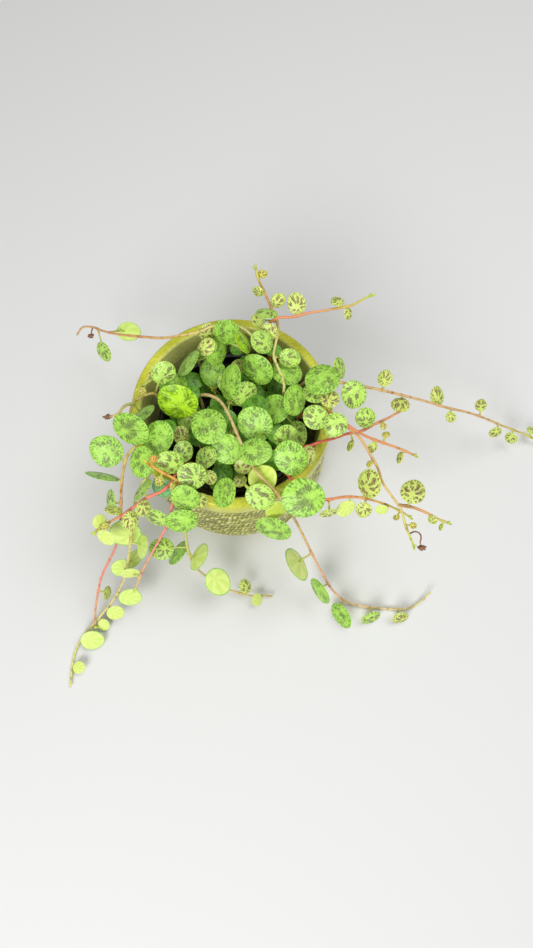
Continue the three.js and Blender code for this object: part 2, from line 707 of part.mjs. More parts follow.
function bladesCross(a, b) {
  const reach = a.halfLength + b.halfLength + CLEARANCE;
  if (a.middle.distanceTo(b.middle) > reach) return false;
  for (const [one, other] of [[a, b], [b, a]]) {
    const points = bladePoints(one);
    const isRim = (i) => i > 0 && i <= RIM_SAMPLES;
    if (points.some((p, i) => nearBlade(other, p, isRim(i) ? 0 : INNER_THICKNESS))) return true;
    const rim = points.slice(1, 1 + RIM_SAMPLES).map((p) => inBlade(other, p, CLEARANCE));
    const cuts = [];
    rim.forEach((p, i) => {
      const q = rim[(i + 1) % RIM_SAMPLES];
      if (p.z > 0 === q.z > 0) return;
      const share = p.z / (p.z - q.z);
      cuts.push(vec(p.x + (q.x - p.x) * share, p.y + (q.y - p.y) * share, 0));
    });
    if (pierces(other, cuts)) return true;
  }
  return false;
}

// True inside the pots, the soil or the surface below, each grown by a margin.
function inTheWay(point, margin) {
  const radius = Math.hypot(point.x, point.y);
  const apart = CLEARANCE + margin;
  if (point.z < GROUND_GAP + margin) return true;
  if (radius > RIM_ROOM[1] + margin) return false;
  if (point.z < SOIL_LEVEL + 1 + margin) return true;
  if (radius > RIM_ROOM[0] - apart && point.z < RIM_ROOM[2] + apart) return true;
  return radius > GROW_INNER_RADIUS - apart && point.z < GROW_RIM_HEIGHT + apart;
}

// The stalk's line, from the middle of the stem to inside the blade.
function stalkLine(stemPoint, blade) {
  const hangs = stemPoint.clone().sub(blade.middle).dot(blade.normal) > 0;
  const share = hangs ? HANGING_ATTACH_SHARE : ATTACH_SHARE;
  const joint = blade.middle.clone().addScaledVector(blade.along, -share * blade.halfLength);
  return new THREE.LineCurve3(stemPoint.clone(), joint);
}

// The plant as it has grown so far. A stem has its lines, which are its own curve and those
// of its branches, and its leaves, each with its blade and its stalk.
const grown = [];

function nearestOn(points, target) {
  return points.reduce((best, p) => (p.distanceTo(target) < best.distanceTo(target) ? p : best));
}

const OWN_STEM_RADIUS = 0.1; // a blade may touch the stem that bears it

function isClear(leaf, stem) {
  const blade = leaf.blade;
  if (bladePoints(blade).some((p) => inTheWay(p, LEAF_BELLY))) return false;
  const stalk = leaf.stalkPoints;
  if (stalk.some((p) => inTheWay(p, PETIOLE_RADIUS))) return false;
  const bladeReach = blade.halfLength + STEM_RADIUS + CLEARANCE;
  const stemGap = STEM_RADIUS + PETIOLE_RADIUS + CLEARANCE;
  for (const other of grown) {
    const own = other === stem;
    const radius = own ? OWN_STEM_RADIUS : STEM_RADIUS;
    for (const p of other.lines.flatMap((line) => line.points)) {
      if (p.distanceTo(blade.middle) < bladeReach && nearBlade(blade, p, radius)) return false;
      if (!own && stalk.some((s) => s.distanceTo(p) < stemGap)) return false;
    }
    for (const placed of other.leaves) {
      if (bladesCross(blade, placed.blade)) return false;
      if (stalk.some((s) => nearBlade(placed.blade, s, PETIOLE_RADIUS))) return false;
      if (placed.stalkPoints.some((s) => nearBlade(blade, s, PETIOLE_RADIUS))) return false;
      if (own) continue;
      const stalkGap = 2 * PETIOLE_RADIUS + CLEARANCE;
      if (stalk.some((s) => placed.stalkPoints.some((t) => s.distanceTo(t) < stalkGap))) return false;
    }
  }
  return true;
}

// Grows one leaf on a line of a stem. Returns false if there is no room for it.
function growLeaf(stem, line, wanted, width, direction, lean) {
  const stemPoint = nearestOn(line.points.slice(line.bare), wanted);
  const outward = wanted.clone().sub(stemPoint);
  for (const size of TRY_SIZES) {
    for (const flatter of TRY_LEANS) {
      for (const lift of TRY_LIFTS) {
        const settled = lean > 90 ? 180 - (180 - lean) * flatter : lean * flatter;
        const middle = wanted.clone().addScaledVector(LIFT, lift);
        const blade = bladeAt(middle, width * size, direction, settled, outward);
        const stalk = stalkLine(stemPoint, blade);
        const leaf = { blade, stalk, stalkPoints: walk([stalk.v1, stalk.v2]) };
        if (isClear(leaf, stem)) {
          stem.leaves.push(leaf);
          return true;
        }
      }
    }
  }
  return false;
}

// A line with the number of rings that its tube gets. Its first points, up to bare, bear no
// leaves. On a main stem they are in the soil and just above it.
function growLine(curve, bare) {
  const length = curve.getLength();
  const steps = Math.ceil(length / between(STEM_STEP, Math.min(length / LONG_STEM, 1)));
  return { curve, steps, bare, points: walk(curve.getSpacedPoints(steps)) };
}

const BARE_POINTS = ROOT_DEPTH + 3;

function growStems() {
  for (const { name, route, fill, branches = [] } of STEMS) {
    const main = growLine(stemCurve(route), BARE_POINTS);
    const sides = branches.map((branch) => {
      const points = branch.route.map((p) => vec(...p));
      points[0] = nearestOn(main.points, points[0]);
      return growLine(new THREE.CatmullRomCurve3(points, false, "centripetal"), 0);
    });
    grown.push({ name, fill, lines: [main, ...sides], leaves: [] });
  }
}

function growChosenLeaves() {
  STEMS.forEach(({ leaves, branches = [] }, i) => {
    [leaves, ...branches.map((branch) => branch.leaves)].forEach((list, k) => {
      for (const [x, y, z, width, direction = DEFAULT_LEAN_DIRECTION, lean = DEFAULT_LEAN] of list) {
        growLeaf(grown[i], grown[i].lines[k], vec(x, y, z), width, direction, lean);
      }
    });
  });
}

function growLowLeaves() {
  const random = seededRandom(FILL_SEED);
  for (const stem of grown) {
    const line = stem.lines[0];
    const last = line.points.length - 1;
    let turn = 360 * random();
    const [first, end] = stem.fill.map((share) => share * last);
    for (let at = Math.max(first, line.bare); at <= end; at += FILL_SPACING) {
      const stemPoint = line.points[Math.floor(at)];
      for (let attempt = 0; attempt < FILL_ATTEMPTS; attempt++) {
        turn += FILL_TURN;
        const angle = THREE.MathUtils.degToRad(turn);
        const reach = between(FILL_REACH, random());
        const width = between(FILL_WIDTH, random());
        const lean = between(FILL_LEAN, random());
        const outward = vec(reach * Math.cos(angle), reach * Math.sin(angle), FILL_RISE * reach);
        if (growLeaf(stem, line, stemPoint.clone().add(outward), width, turn, lean)) break;
      }
    }
  }
}

// ---------------------------------------------------------------- stems and leaves as solids

function tube(curve, radius, sides, steps) {
  const section = new THREE.Shape();
  for (let i = 0; i < sides; i++) {
    const angle = (2 * Math.PI * i) / sides;
    const point = [radius * Math.cos(angle), radius * Math.sin(angle)];
    if (i) section.lineTo(...point);
    else section.moveTo(...point);
  }
  return new THREE.ExtrudeGeometry(section, { steps, extrudePath: curve, curveSegments: 1 });
}

// The blade: a thick lens, its upper side higher than its underside is deep.
function bladeGeometry(blade) {
  const geometry = turned([[0, -LEAF_BELLY], [1, 0], [0, LEAF_CROWN]], LEAF_SIDES);
  geometry.scale(blade.halfWidth, blade.halfLength, 1);
  const place = new THREE.Matrix4().makeBasis(blade.across, blade.along, blade.normal);
  geometry.applyMatrix4(place.setPosition(blade.middle));
  return geometry;
}

// The bud at a line's tip.
function bud({ points }) {
  const tip = points[points.length - 1];
  return new THREE.SphereGeometry(BUD_RADIUS, BUD_SIDES, BUD_BANDS).translate(tip.x, tip.y, tip.z);
}

function leafyStem(stem) {
  const parts = [];
  for (const line of stem.lines) {
    parts.push(tube(line.curve, STEM_RADIUS, STEM_SIDES, line.steps), bud(line));
  }
  for (const { blade, stalk } of stem.leaves) {
    parts.push(tube(stalk, PETIOLE_RADIUS, PETIOLE_SIDES, 1), bladeGeometry(blade));
  }
  const body = parts.map(solidOf).reduce((joined, part) => joined.add(part));
  return named(`stem_${stem.name}`, geometryOf(body), FINISHES.leaf);
}

// ---------------------------------------------------------------- the whole object

growStems();
growChosenLeaves();
growLowLeaves();

const plant = new THREE.Group();
plant.add(coverPot(), growPot(), soil());
for (const stem of grown) plant.add(leafyStem(stem));

export default plant;
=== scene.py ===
# %% [markdown]
# # A trailing peperomia in its stoneware pot
#
# This lesson dresses the solid model of a potted string-of-turtles peperomia. The solid model
# is the frame: it says where the pot, the soil and every leafy stem are. Here each of them gets
# the shape and finish that the eye sees: glazed stoneware with a knitted texture, a black
# nursery pot, dark potting mix, and fleshy round leaves with dark patches between pale veins.
#
# Blender works in metres. The plant's own numbers are easier to read in millimetres, so they
# stay in millimetres and are scaled when a mesh is finished.

# %% Load the frame
import json
import math

import bmesh
import bpy
import numpy as np
from mathutils import Matrix, Vector, noise

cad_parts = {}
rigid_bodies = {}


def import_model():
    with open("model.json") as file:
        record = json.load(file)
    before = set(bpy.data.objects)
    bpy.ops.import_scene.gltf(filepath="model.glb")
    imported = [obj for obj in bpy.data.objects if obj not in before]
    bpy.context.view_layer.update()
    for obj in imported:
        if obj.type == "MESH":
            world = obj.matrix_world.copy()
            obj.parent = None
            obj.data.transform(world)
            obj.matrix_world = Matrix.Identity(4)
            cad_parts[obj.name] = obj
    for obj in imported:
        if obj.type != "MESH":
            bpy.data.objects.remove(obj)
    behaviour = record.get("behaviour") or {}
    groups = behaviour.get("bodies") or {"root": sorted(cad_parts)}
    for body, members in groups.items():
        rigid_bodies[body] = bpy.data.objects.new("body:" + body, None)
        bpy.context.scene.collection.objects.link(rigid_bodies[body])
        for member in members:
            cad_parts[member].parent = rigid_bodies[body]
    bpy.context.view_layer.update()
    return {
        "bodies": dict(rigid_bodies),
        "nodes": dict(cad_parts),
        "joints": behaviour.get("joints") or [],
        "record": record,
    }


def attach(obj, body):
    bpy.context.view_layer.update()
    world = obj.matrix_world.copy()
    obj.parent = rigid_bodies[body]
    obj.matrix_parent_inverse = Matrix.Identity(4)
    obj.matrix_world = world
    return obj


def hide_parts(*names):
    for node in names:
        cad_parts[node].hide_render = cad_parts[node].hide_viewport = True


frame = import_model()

print("nodes:", len(frame["nodes"]))

# %% [markdown]
# ## Camera
#
# The picture was taken from above the front of the pot, looking steeply down. The rim's two
# ellipses and the stems that lie on the table fix the camera: 37 cm above the table, turned
# down by 74 degrees. A camera that is turned by 16 degrees about X looks down that steeply.

# %% Camera
camera_data = bpy.data.cameras.new("camera")
camera_data.sensor_width = 36
camera_data.lens = 27.34
camera_data.dof.use_dof = False
camera = bpy.data.objects.new("camera", camera_data)
camera.location = (0.0158, -0.1182, 0.3725)
camera.rotation_euler = (math.radians(16), 0, 0)
bpy.context.scene.collection.objects.link(camera)
bpy.context.scene.camera = camera
print("camera at", tuple(round(v, 3) for v in camera.location))

# %% [markdown]
# ## Colours and nodes
#
# Colours are written as sRGB hex values, the way a colour picker shows them. Blender's shaders
# want linear values, so one function converts them. A second one adds a shader node, fills in
# its settings and links its inputs. Patterns are built from soft edges: a value, such as the
# distance from a leaf's middle, fades from 0 to 1 between two limits, and the fades multiply.

# %% Colour and node helpers
def linear(hex_value):
    """An sRGB hex colour as linear red, green, blue and alpha."""
    channels = [int(hex_value[i : i + 2], 16) / 255 for i in (0, 2, 4)]
    curve = [c / 12.92 if c <= 0.04045 else ((c + 0.055) / 1.055) ** 2.4 for c in channels]
    return (*curve, 1.0)


def set_inputs(tree, node, inputs):
    """Fills a node's inputs. One that is given an output is linked, and a text is a colour."""
    for key, value in inputs.items():
        if isinstance(value, bpy.types.NodeSocket):
            tree.links.new(value, node.inputs[key])
        else:
            node.inputs[key].default_value = linear(value) if isinstance(value, str) else value


def add_node(tree, kind, inputs=(), output=0, stops=(), **settings):
    """Adds a shader node and returns one of its outputs.

    Its inputs are a list in order, or a dict by name or number. Stops are the places and
    colours along a colour ramp.
    """
    node = tree.nodes.new("ShaderNode" + kind)
    for name, value in settings.items():
        setattr(node, name, value)
    set_inputs(tree, node, inputs if isinstance(inputs, dict) else dict(enumerate(inputs)))
    elements = node.color_ramp.elements if stops else ()
    while len(elements) < len(stops):
        elements.new(0.5)
    for element, (place, colour) in zip(elements, stops):
        element.position, element.color = place, linear(colour)
    return node.outputs[output]


def new_material(name):
    """An empty material, its node tree and its Principled shader."""
    material = bpy.data.materials.new(name)
    material.use_nodes = True
    return material, material.node_tree, material.node_tree.nodes["Principled BSDF"]


# %% Soft edges
def inside(tree, *edges):
    """How far a spot lies inside several soft edges, from 0 to 1.

    An edge is a value, where it still counts as 0 and where it counts as 1. A value that
    comes without these is a weight.
    """
    product = None
    for edge in edges:
        if isinstance(edge, tuple):
            edge = add_node(tree, "MapRange", edge, interpolation_type="SMOOTHSTEP")
        if product is None:
            product = edge
        else:
            product = add_node(tree, "Math", [product, edge], operation="MULTIPLY")
    return product


print("colours are linear:", [round(value, 3) for value in linear("808080")])

# %% [markdown]
# ## Finishing a piece
#
# Every piece ends the same way: its bmesh is scaled to metres and written to a mesh, it gets
# its materials, it rides on the part's one body, and it stands for the solids that it dresses.

# %% Piece helper
MM = 0.001


def finish_piece(name, bm, materials, nodes, subdivisions=0):
    """A bmesh in millimetres made into a piece that replaces the nodes it dresses."""
    bmesh.ops.scale(bm, vec=(MM, MM, MM), verts=bm.verts)
    mesh = bpy.data.meshes.new(name)
    bm.to_mesh(mesh)
    bm.free()
    for material in materials:
        mesh.materials.append(material)
    piece = bpy.data.objects.new(name, mesh)
    bpy.context.scene.collection.objects.link(piece)
    if subdivisions:
        modifier = piece.modifiers.new("smooth", "SUBSURF")
        modifier.levels = modifier.render_levels = subdivisions
    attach(piece, "root")
    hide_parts(*nodes)
    return piece


# %% [markdown]
# ## The cover pot
#
# A small stoneware pot: a smooth collar with a rounded rim and a runny olive-green glaze, and
# below it a body that looks knitted, with rows of slanting grains. The pot is turned, so its
# profile is spun round the Z axis. The rows below the collar are cut fine enough to carry the
# grains, which are then pushed in and out along the radius.
#
# The glaze is thin where the surface is proud and pools where it is hollow. That is part of why
# the grains are pale and the grooves between them dark; the rest is painted light on the grains
# and painted shade in the grooves. Each vertex keeps how proud it is in an attribute, and the
# glaze reads it.

# %% Cover pot profile
RIM_RADIUS, RIM_WIDTH, RIM_OUTSIDE, RIM_INSIDE, POT_HEIGHT = 46, 5, (1.8, 2.4), (1.2, 1.8), 67
COLLAR_HEIGHT, COLLAR_ROUNDING = 11.5, 1.1
COLLAR_FOOT = POT_HEIGHT - COLLAR_HEIGHT
BODY_RADIUS, BELLY_RADIUS, BELLY_HEIGHT, BELLY_CURVE, BELLY_TUCK = 44.8, 46.4, 16, 1.6, 0.4
FOOT_RADIUS, FOOT_HEIGHT, FOOT_REACH, WALL, FLOOR_THICKNESS = 43, 3.4, 2.9, 5.2, 5
BODY_FOOT, BODY_TOP = 1.4, COLLAR_FOOT - 1
GRAIN_WIDTH, GRAIN_HEIGHT, GRAIN_DEPTH, GRAIN_LEAN = 2.1, 4.4, 1.1, 0.9
ROWS_PER_GRAIN, STEPS_PER_GRAIN = 6, 4
GRAINS_ROUND = round(2 * math.pi * BELLY_RADIUS / GRAIN_WIDTH)
RIM_STEPS = 8


def elliptic_arc(middle, half_sizes, start, end, steps):
    """(radius, height) points on an ellipse, from one angle to another in degrees."""
    angles = [math.radians(start + (end - start) * i / steps) for i in range(steps + 1)]
    return [
        (middle[0] + half_sizes[0] * math.cos(a), middle[1] + half_sizes[1] * math.sin(a))
        for a in angles
    ]


def body_radius(height):
    """The textured body's radius: a low belly, drawn in to the collar and rounded to the foot."""
    if height < FOOT_HEIGHT:
        return FOOT_RADIUS + FOOT_REACH * math.sqrt(1 - (1 - height / FOOT_HEIGHT) ** 2)
    if height < BELLY_HEIGHT:
        share = (BELLY_HEIGHT - height) / (BELLY_HEIGHT - FOOT_HEIGHT)
        return BELLY_RADIUS - BELLY_TUCK * share**2
    share = (height - BELLY_HEIGHT) / (BODY_TOP - BELLY_HEIGHT)
    return BELLY_RADIUS - (BELLY_RADIUS - BODY_RADIUS) * share**BELLY_CURVE


body_rows = round((BODY_TOP - BODY_FOOT) / GRAIN_HEIGHT) * ROWS_PER_GRAIN
body_heights = [BODY_FOOT + (BODY_TOP - BODY_FOOT) * i / body_rows for i in range(body_rows + 1)]
collar_edge = (RIM_RADIUS - COLLAR_ROUNDING, COLLAR_FOOT + COLLAR_ROUNDING)
outside_middle = (RIM_RADIUS - RIM_OUTSIDE[0], POT_HEIGHT - RIM_OUTSIDE[1])
inside_middle = (RIM_RADIUS - RIM_WIDTH + RIM_INSIDE[0], POT_HEIGHT - RIM_INSIDE[1])
inner_corner = (3.9, 4.5)  # between wall and floor inside, across and up
pot_profile = (
    [(0, 0), (20, 0), (FOOT_RADIUS, 0)]
    + [(body_radius(height), height) for height in (0.06, 0.25, 0.55, 0.95)]
    + [(body_radius(height), height) for height in body_heights]
    + [(BODY_RADIUS, COLLAR_FOOT - 0.8), (BODY_RADIUS + 0.5, COLLAR_FOOT - 0.35)]
    + elliptic_arc(collar_edge, (COLLAR_ROUNDING, COLLAR_ROUNDING), -80, 0, 4)
    + [(RIM_RADIUS + 0.12, COLLAR_FOOT + 5)]
    + elliptic_arc(outside_middle, RIM_OUTSIDE, 0, 90, RIM_STEPS)
    + [(RIM_RADIUS - RIM_WIDTH / 2, POT_HEIGHT + 0.08)]
    + elliptic_arc(inside_middle, RIM_INSIDE, 90, 180, RIM_STEPS)
    + [(body_radius(height) - WALL, height) for height in (BODY_TOP, 48, 42, 35, 28, 21, 15)]
    + elliptic_arc((BELLY_RADIUS - WALL - 4.5, 9.5), inner_corner, 0, -90, 5)
    + [(18, FLOOR_THICKNESS), (0, FLOOR_THICKNESS)]
)
print("profile points:", len(pot_profile), "grains round:", GRAINS_ROUND)


# %% Cover pot mesh
WELD = 1e-4  # points nearer than this are made one
WANDER_SCALE, ROW_WANDER, GRAIN_WANDER = 9.0, 0.3, 0.6  # rows and grains aren't quite even
EDGE_FADE = (1.5, 2)  # the grains fade out over this height, under the collar and at the foot
GRAIN_SEED = 7
noise.seed_set(GRAIN_SEED)  # without it noise_vector differs from run to run


def spin_profile(profile, steps):
    """A bmesh turned round Z from (radius, height) points that start and end on the axis."""
    bm = bmesh.new()
    verts = [bm.verts.new((radius, 0, height)) for radius, height in profile]
    edges = [bm.edges.new(pair) for pair in zip(verts, verts[1:])]
    bmesh.ops.spin(
        bm, geom=verts + edges, axis=(0, 0, 1), cent=(0, 0, 0), angle=2 * math.pi,
        steps=steps, use_merge=True,
    )
    bmesh.ops.remove_doubles(bm, verts=bm.verts, dist=WELD)
    bmesh.ops.recalc_face_normals(bm, faces=bm.faces)
    for face in bm.faces:
        face.smooth = True
    return bm


def grain_height(turn, height):
    """How proud the knitted texture is, from 0 in a groove to 1 on a grain. turn is 0 to 1."""
    angle = turn * math.tau
    spot = Vector((math.cos(angle), math.sin(angle), height / BODY_RADIUS))
    shift = noise.noise_vector(spot * WANDER_SCALE)
    row = (height - BODY_FOOT) / GRAIN_HEIGHT + ROW_WANDER * shift.x
    along = turn * GRAINS_ROUND + 0.5 * (math.floor(row) % 2) - GRAIN_LEAN * (row % 1)
    along += GRAIN_WANDER * shift.y
    chance = noise.cell(Vector((math.floor(along) % GRAINS_ROUND, math.floor(row), 0.5)))
    across = abs(2 * (along % 1) - 1)
    upright = abs(2 * (row % 1) - 1)
    swell = max(0.0, 1 - across**2.4) ** 0.7 * max(0.0, 1 - upright**3) ** 0.7
    return swell * (0.7 + 0.3 * chance)


pot_bm = spin_profile(pot_profile, GRAINS_ROUND * STEPS_PER_GRAIN)
proud = pot_bm.verts.layers.float.new("proud")
for vert in pot_bm.verts:
    radius = math.hypot(vert.co.x, vert.co.y)
    vert[proud] = 1.0
    outside = radius > body_radius(min(vert.co.z, BODY_TOP)) - WALL / 2
    if BODY_FOOT - 0.1 < vert.co.z < BODY_TOP + 0.1 and outside:
        grain = grain_height(math.atan2(vert.co.y, vert.co.x) / math.tau + 0.5, vert.co.z)
        below_collar = (BODY_TOP - vert.co.z) / EDGE_FADE[0] + 0.3
        above_foot = (vert.co.z - BODY_FOOT) / EDGE_FADE[1] + 0.1
        vert[proud] = grain
        pressed_in = (1 - grain) * min(1.0, below_collar, above_foot) * GRAIN_DEPTH
        vert.co.x *= 1 - pressed_in / radius
        vert.co.y *= 1 - pressed_in / radius
print("cover pot faces:", len(pot_bm.faces))

# %% [markdown]
# The glaze is a glossy feldspar glaze, green-olive from a little iron. Stoneware glazes sit
# near a roughness of 0.15 to 0.25 and an IOR of 1.5. On the collar it is smooth and a little
# uneven in colour where it ran. Inside the rim's inner edge it is painted paler: a painted
# highlight on the rounding and painted light on the shaded inner wall. Tiny brown pinholes dot
# it. In the grooves of the body it pools to a dark olive, deepened by painted shade, and a band
# of painted shadow darkens the body just under the collar.

# %% Glazed stoneware
# In millimetres: a run of the glaze, a speck in it, from pinhole to pinhole, and from one
# patch of pinholes to the next. The specks are drawn coarser than real ones so that they show.
RUN_SIZE, SPECK_SIZE, PINHOLE_SPACING, PINHOLE_PATCH = 18.2, 1.11, 3.85, 9.09
# How far below the collar the painted shadow reaches, in millimetres.
PAINTED_SHADOW_BELOW_COLLAR = 7

glaze, tree, shader = new_material("olive_glazed_stoneware")
place = add_node(tree, "TexCoord", output="Object")
height = add_node(tree, "SeparateXYZ", [place], "Z")
flattened = add_node(tree, "VectorMath", [place, (1, 1, 0)], operation="MULTIPLY")
radius = add_node(tree, "VectorMath", [flattened], "Value", operation="LENGTH")
proudness = add_node(tree, "Attribute", output="Fac", attribute_name="proud")
runs, speckle, patches = (
    add_node(tree, "TexNoise", {"Vector": place, "Scale": 1 / (size * MM), **more})
    for size, more in (
        (RUN_SIZE, {"Detail": 3.0, "Roughness": 0.6}), (SPECK_SIZE, {}),
        (PINHOLE_PATCH, {"Detail": 1.0}),
    )
)
pits = add_node(tree, "TexVoronoi", {"Vector": place, "Scale": 1 / (PINHOLE_SPACING * MM)})

collar_colour = add_node(
    tree, "ValToRGB", [runs], stops=[(0.3, "C4C63A"), (0.5, "D4D648"), (0.72, "E4E45C")]
)
# Pale grain tops and dark grooves: partly the glaze breaking and pooling, partly painted light on
# the grains and painted shade in the grooves.
glaze_pooling_and_painted_shade = add_node(
    tree, "ValToRGB", [proudness],
    stops=[(0.0, "4A4C14"), (0.3, "868836"), (0.6, "C8C86A"), (0.9, "F2F0A4")],
)
# Painted light: from the inner rounding of the rim down the inner wall the glaze is mixed towards a
# pale yellow, a painted highlight and painted light where the leaves shade the wall.
lip_edge = RIM_RADIUS - RIM_WIDTH
painted_lip_light = inside(tree, (radius, (lip_edge + 1.1) * MM, (lip_edge + 0.3) * MM), 0.8)
# Painted shadow: the body turns dark olive in a band just under the collar's edge.
painted_collar_shadow = inside(
    tree, (height, (BODY_TOP - PAINTED_SHADOW_BELOW_COLLAR) * MM, (BODY_TOP - 1) * MM), 0.3
)
is_collar = inside(tree, (height, (COLLAR_FOOT - 0.6) * MM, COLLAR_FOOT * MM))
pinhole = inside(tree, (pits, 0.16, 0.1), (patches, 0.6, 0.66))
mottle = add_node(tree, "ValToRGB", [speckle], stops=[(0.3, "E0E0E0"), (0.7, "FFFFFF")])

# The pale yellow mixed in here is the painted highlight and painted light inside the rim.
collar_colour = add_node(
    tree, "Mix", {0: painted_lip_light, 6: collar_colour, 7: "F2F29A"}, 2, data_type="RGBA"
)
colour = glaze_pooling_and_painted_shade
# In turn: the painted shadow under the collar, the collar's glaze with its painted light inside the
# rim, and the pinholes.
for amount, coat in ((painted_collar_shadow, "4E501A"), (is_collar, collar_colour), (pinhole, "5A4424")):
    colour = add_node(tree, "Mix", {0: amount, 6: colour, 7: coat}, 2, data_type="RGBA")
colour = add_node(
    tree, "Mix", {0: 1.0, 6: colour, 7: mottle}, 2, data_type="RGBA", blend_type="MULTIPLY"
)
bump = add_node(tree, "Bump", {"Height": runs, "Strength": 0.25, "Distance": 0.0006})
set_inputs(tree, shader, {
    "Base Color": colour, "Roughness": 0.22, "Specular Tint": "ECE8B0", "IOR": 1.5,
    "Normal": bump,
})

cover_pot = finish_piece("cover_pot_glazed", pot_bm, [glaze], ["cover_pot"])
print("cover pot done:", cover_pot.name)

# %% [markdown]
# ## The grow pot
#
# Inside stands the thin black nursery pot that the plant grew up in: a vacuum-formed cone of
# polypropylene with a rolled edge and drain holes. It is spun from its profile, and the holes
# are cut out of the floor with a boolean.

# %% Grow pot
GROW_FOOT, GROW_FOOT_RADIUS, GROW_WALL = 5.3, 25, 1.1
GROW_RIM_RADIUS, GROW_RIM_HEIGHT, GROW_TOP_RADIUS = 35.4, 51.5, 34
GROW_INNER_RADIUS = GROW_TOP_RADIUS - GROW_WALL
ROLLED_EDGE = GROW_RIM_HEIGHT - 2.2  # the underside of the rolled edge
FOOT_ROUND, EDGE_ROUND, INNER_ROUND = 1.2, 0.8, 0.6
GROW_STEPS = 96
DRAIN_HOLES, DRAIN_CIRCLE, DRAIN_RADIUS, DRAIN_SIDES = 4, 15, 3, 24

grow_profile = (
    [(0, GROW_FOOT), (22, GROW_FOOT)]
    + elliptic_arc(
        (GROW_FOOT_RADIUS - FOOT_ROUND, GROW_FOOT + FOOT_ROUND), (FOOT_ROUND,) * 2, -90, 0, 4
    )
    + [(GROW_TOP_RADIUS, ROLLED_EDGE), (GROW_RIM_RADIUS - 0.2, ROLLED_EDGE)]
    + [(GROW_RIM_RADIUS, GROW_RIM_HEIGHT - 2.0)]
    + elliptic_arc(
        (GROW_RIM_RADIUS - EDGE_ROUND, GROW_RIM_HEIGHT - EDGE_ROUND), (EDGE_ROUND,) * 2, 0, 90, 4
    )
    + elliptic_arc(
        (GROW_INNER_RADIUS + INNER_ROUND, GROW_RIM_HEIGHT - INNER_ROUND), (INNER_ROUND,) * 2,
        90, 180, 4,
    )
    + [(GROW_FOOT_RADIUS - GROW_WALL, GROW_FOOT + GROW_WALL), (0, GROW_FOOT + GROW_WALL)]
)
grow_bm = spin_profile(grow_profile, GROW_STEPS)


def cut_holes(bm, cutter):
    """The bmesh with a second closed one cut out of it by a Boolean modifier."""
    blanks = []
    for name, part in (("whole", bm), ("cutter", cutter)):
        mesh = bpy.data.meshes.new(name)
        part.to_mesh(mesh)
        part.free()
        blank = bpy.data.objects.new(name, mesh)
        bpy.context.scene.collection.objects.link(blank)
        blanks.append(blank)
    modifier = blanks[0].modifiers.new("cut", "BOOLEAN")
    modifier.object = blanks[1]
    modifier.operation = "DIFFERENCE"
    modifier.solver = "EXACT"
    result = bmesh.new()
    result.from_object(blanks[0], bpy.context.evaluated_depsgraph_get())
    for blank in blanks:
        bpy.data.objects.remove(blank)
    return result


drains = bmesh.new()
for hole in range(DRAIN_HOLES):
    turn = math.radians(360 / DRAIN_HOLES * hole)
    x, y = DRAIN_CIRCLE * math.cos(turn), DRAIN_CIRCLE * math.sin(turn)
    bmesh.ops.create_cone(
        drains, cap_ends=True, segments=DRAIN_SIDES, radius1=DRAIN_RADIUS, radius2=DRAIN_RADIUS,
        depth=4 * GROW_WALL, matrix=Matrix.Translation((x, y, GROW_FOOT + GROW_WALL / 2)),
    )
grow_bm = cut_holes(grow_bm, drains)
print("grow pot faces:", len(grow_bm.faces))

# %% [markdown]
# Black polypropylene straight from the mould has a soft sheen, with a roughness near 0.4, and
# in use it carries a thin film of dust and dried mix.

# %% Nursery pot plastic
DUST_SIZE = 3.125

plastic, tree, shader = new_material("black_polypropylene")
place = add_node(tree, "TexCoord", output="Object")
dust = add_node(
    tree, "TexNoise", {"Vector": place, "Scale": 1 / (DUST_SIZE * MM), "Detail": 5.0}
)
colour = add_node(
    tree, "ValToRGB", [dust], stops=[(0.4, "17181A"), (0.62, "2B2A28"), (0.8, "4A433A")]
)
bump = add_node(tree, "Bump", {"Height": dust, "Strength": 0.2, "Distance": 0.0002})
set_inputs(tree, shader, {
    "Base Color": colour, "Roughness": 0.42, "IOR": 1.49, "Normal": bump,
})
grow_pot = finish_piece("grow_pot_moulded", grow_bm, [plastic], ["grow_pot"])
print("grow pot done:", grow_pot.name)

# %% [markdown]
# ## The potting mix
#
# Peat and fine bark, dark and crumbly. The body of it is spun like the pots. Its top is cut
# into small faces that noise pushes up and down by a millimetre or so, which reads as crumbs
# from above. Where the stems stand it stays near the level of the solid.

# %% Potting mix
SOIL_LEVEL, SOIL_SHOULDER, SOIL_SLOPE = 48.5, 27, 1 / 6  # beyond the shoulder it falls away
SOIL_GAP = 0.3
TOP_RINGS, SOIL_STEPS = 42, 128
LUMP_HEIGHT, LUMP_SINK = 0.9, 0.35


def soil_radius(height):
    """The inside of the grow pot at a height, less a small gap."""
    share = (height - GROW_FOOT - GROW_WALL) / (GROW_RIM_HEIGHT - GROW_FOOT - GROW_WALL)
    start = GROW_FOOT_RADIUS - GROW_WALL
    return start + (GROW_INNER_RADIUS - start) * share - SOIL_GAP


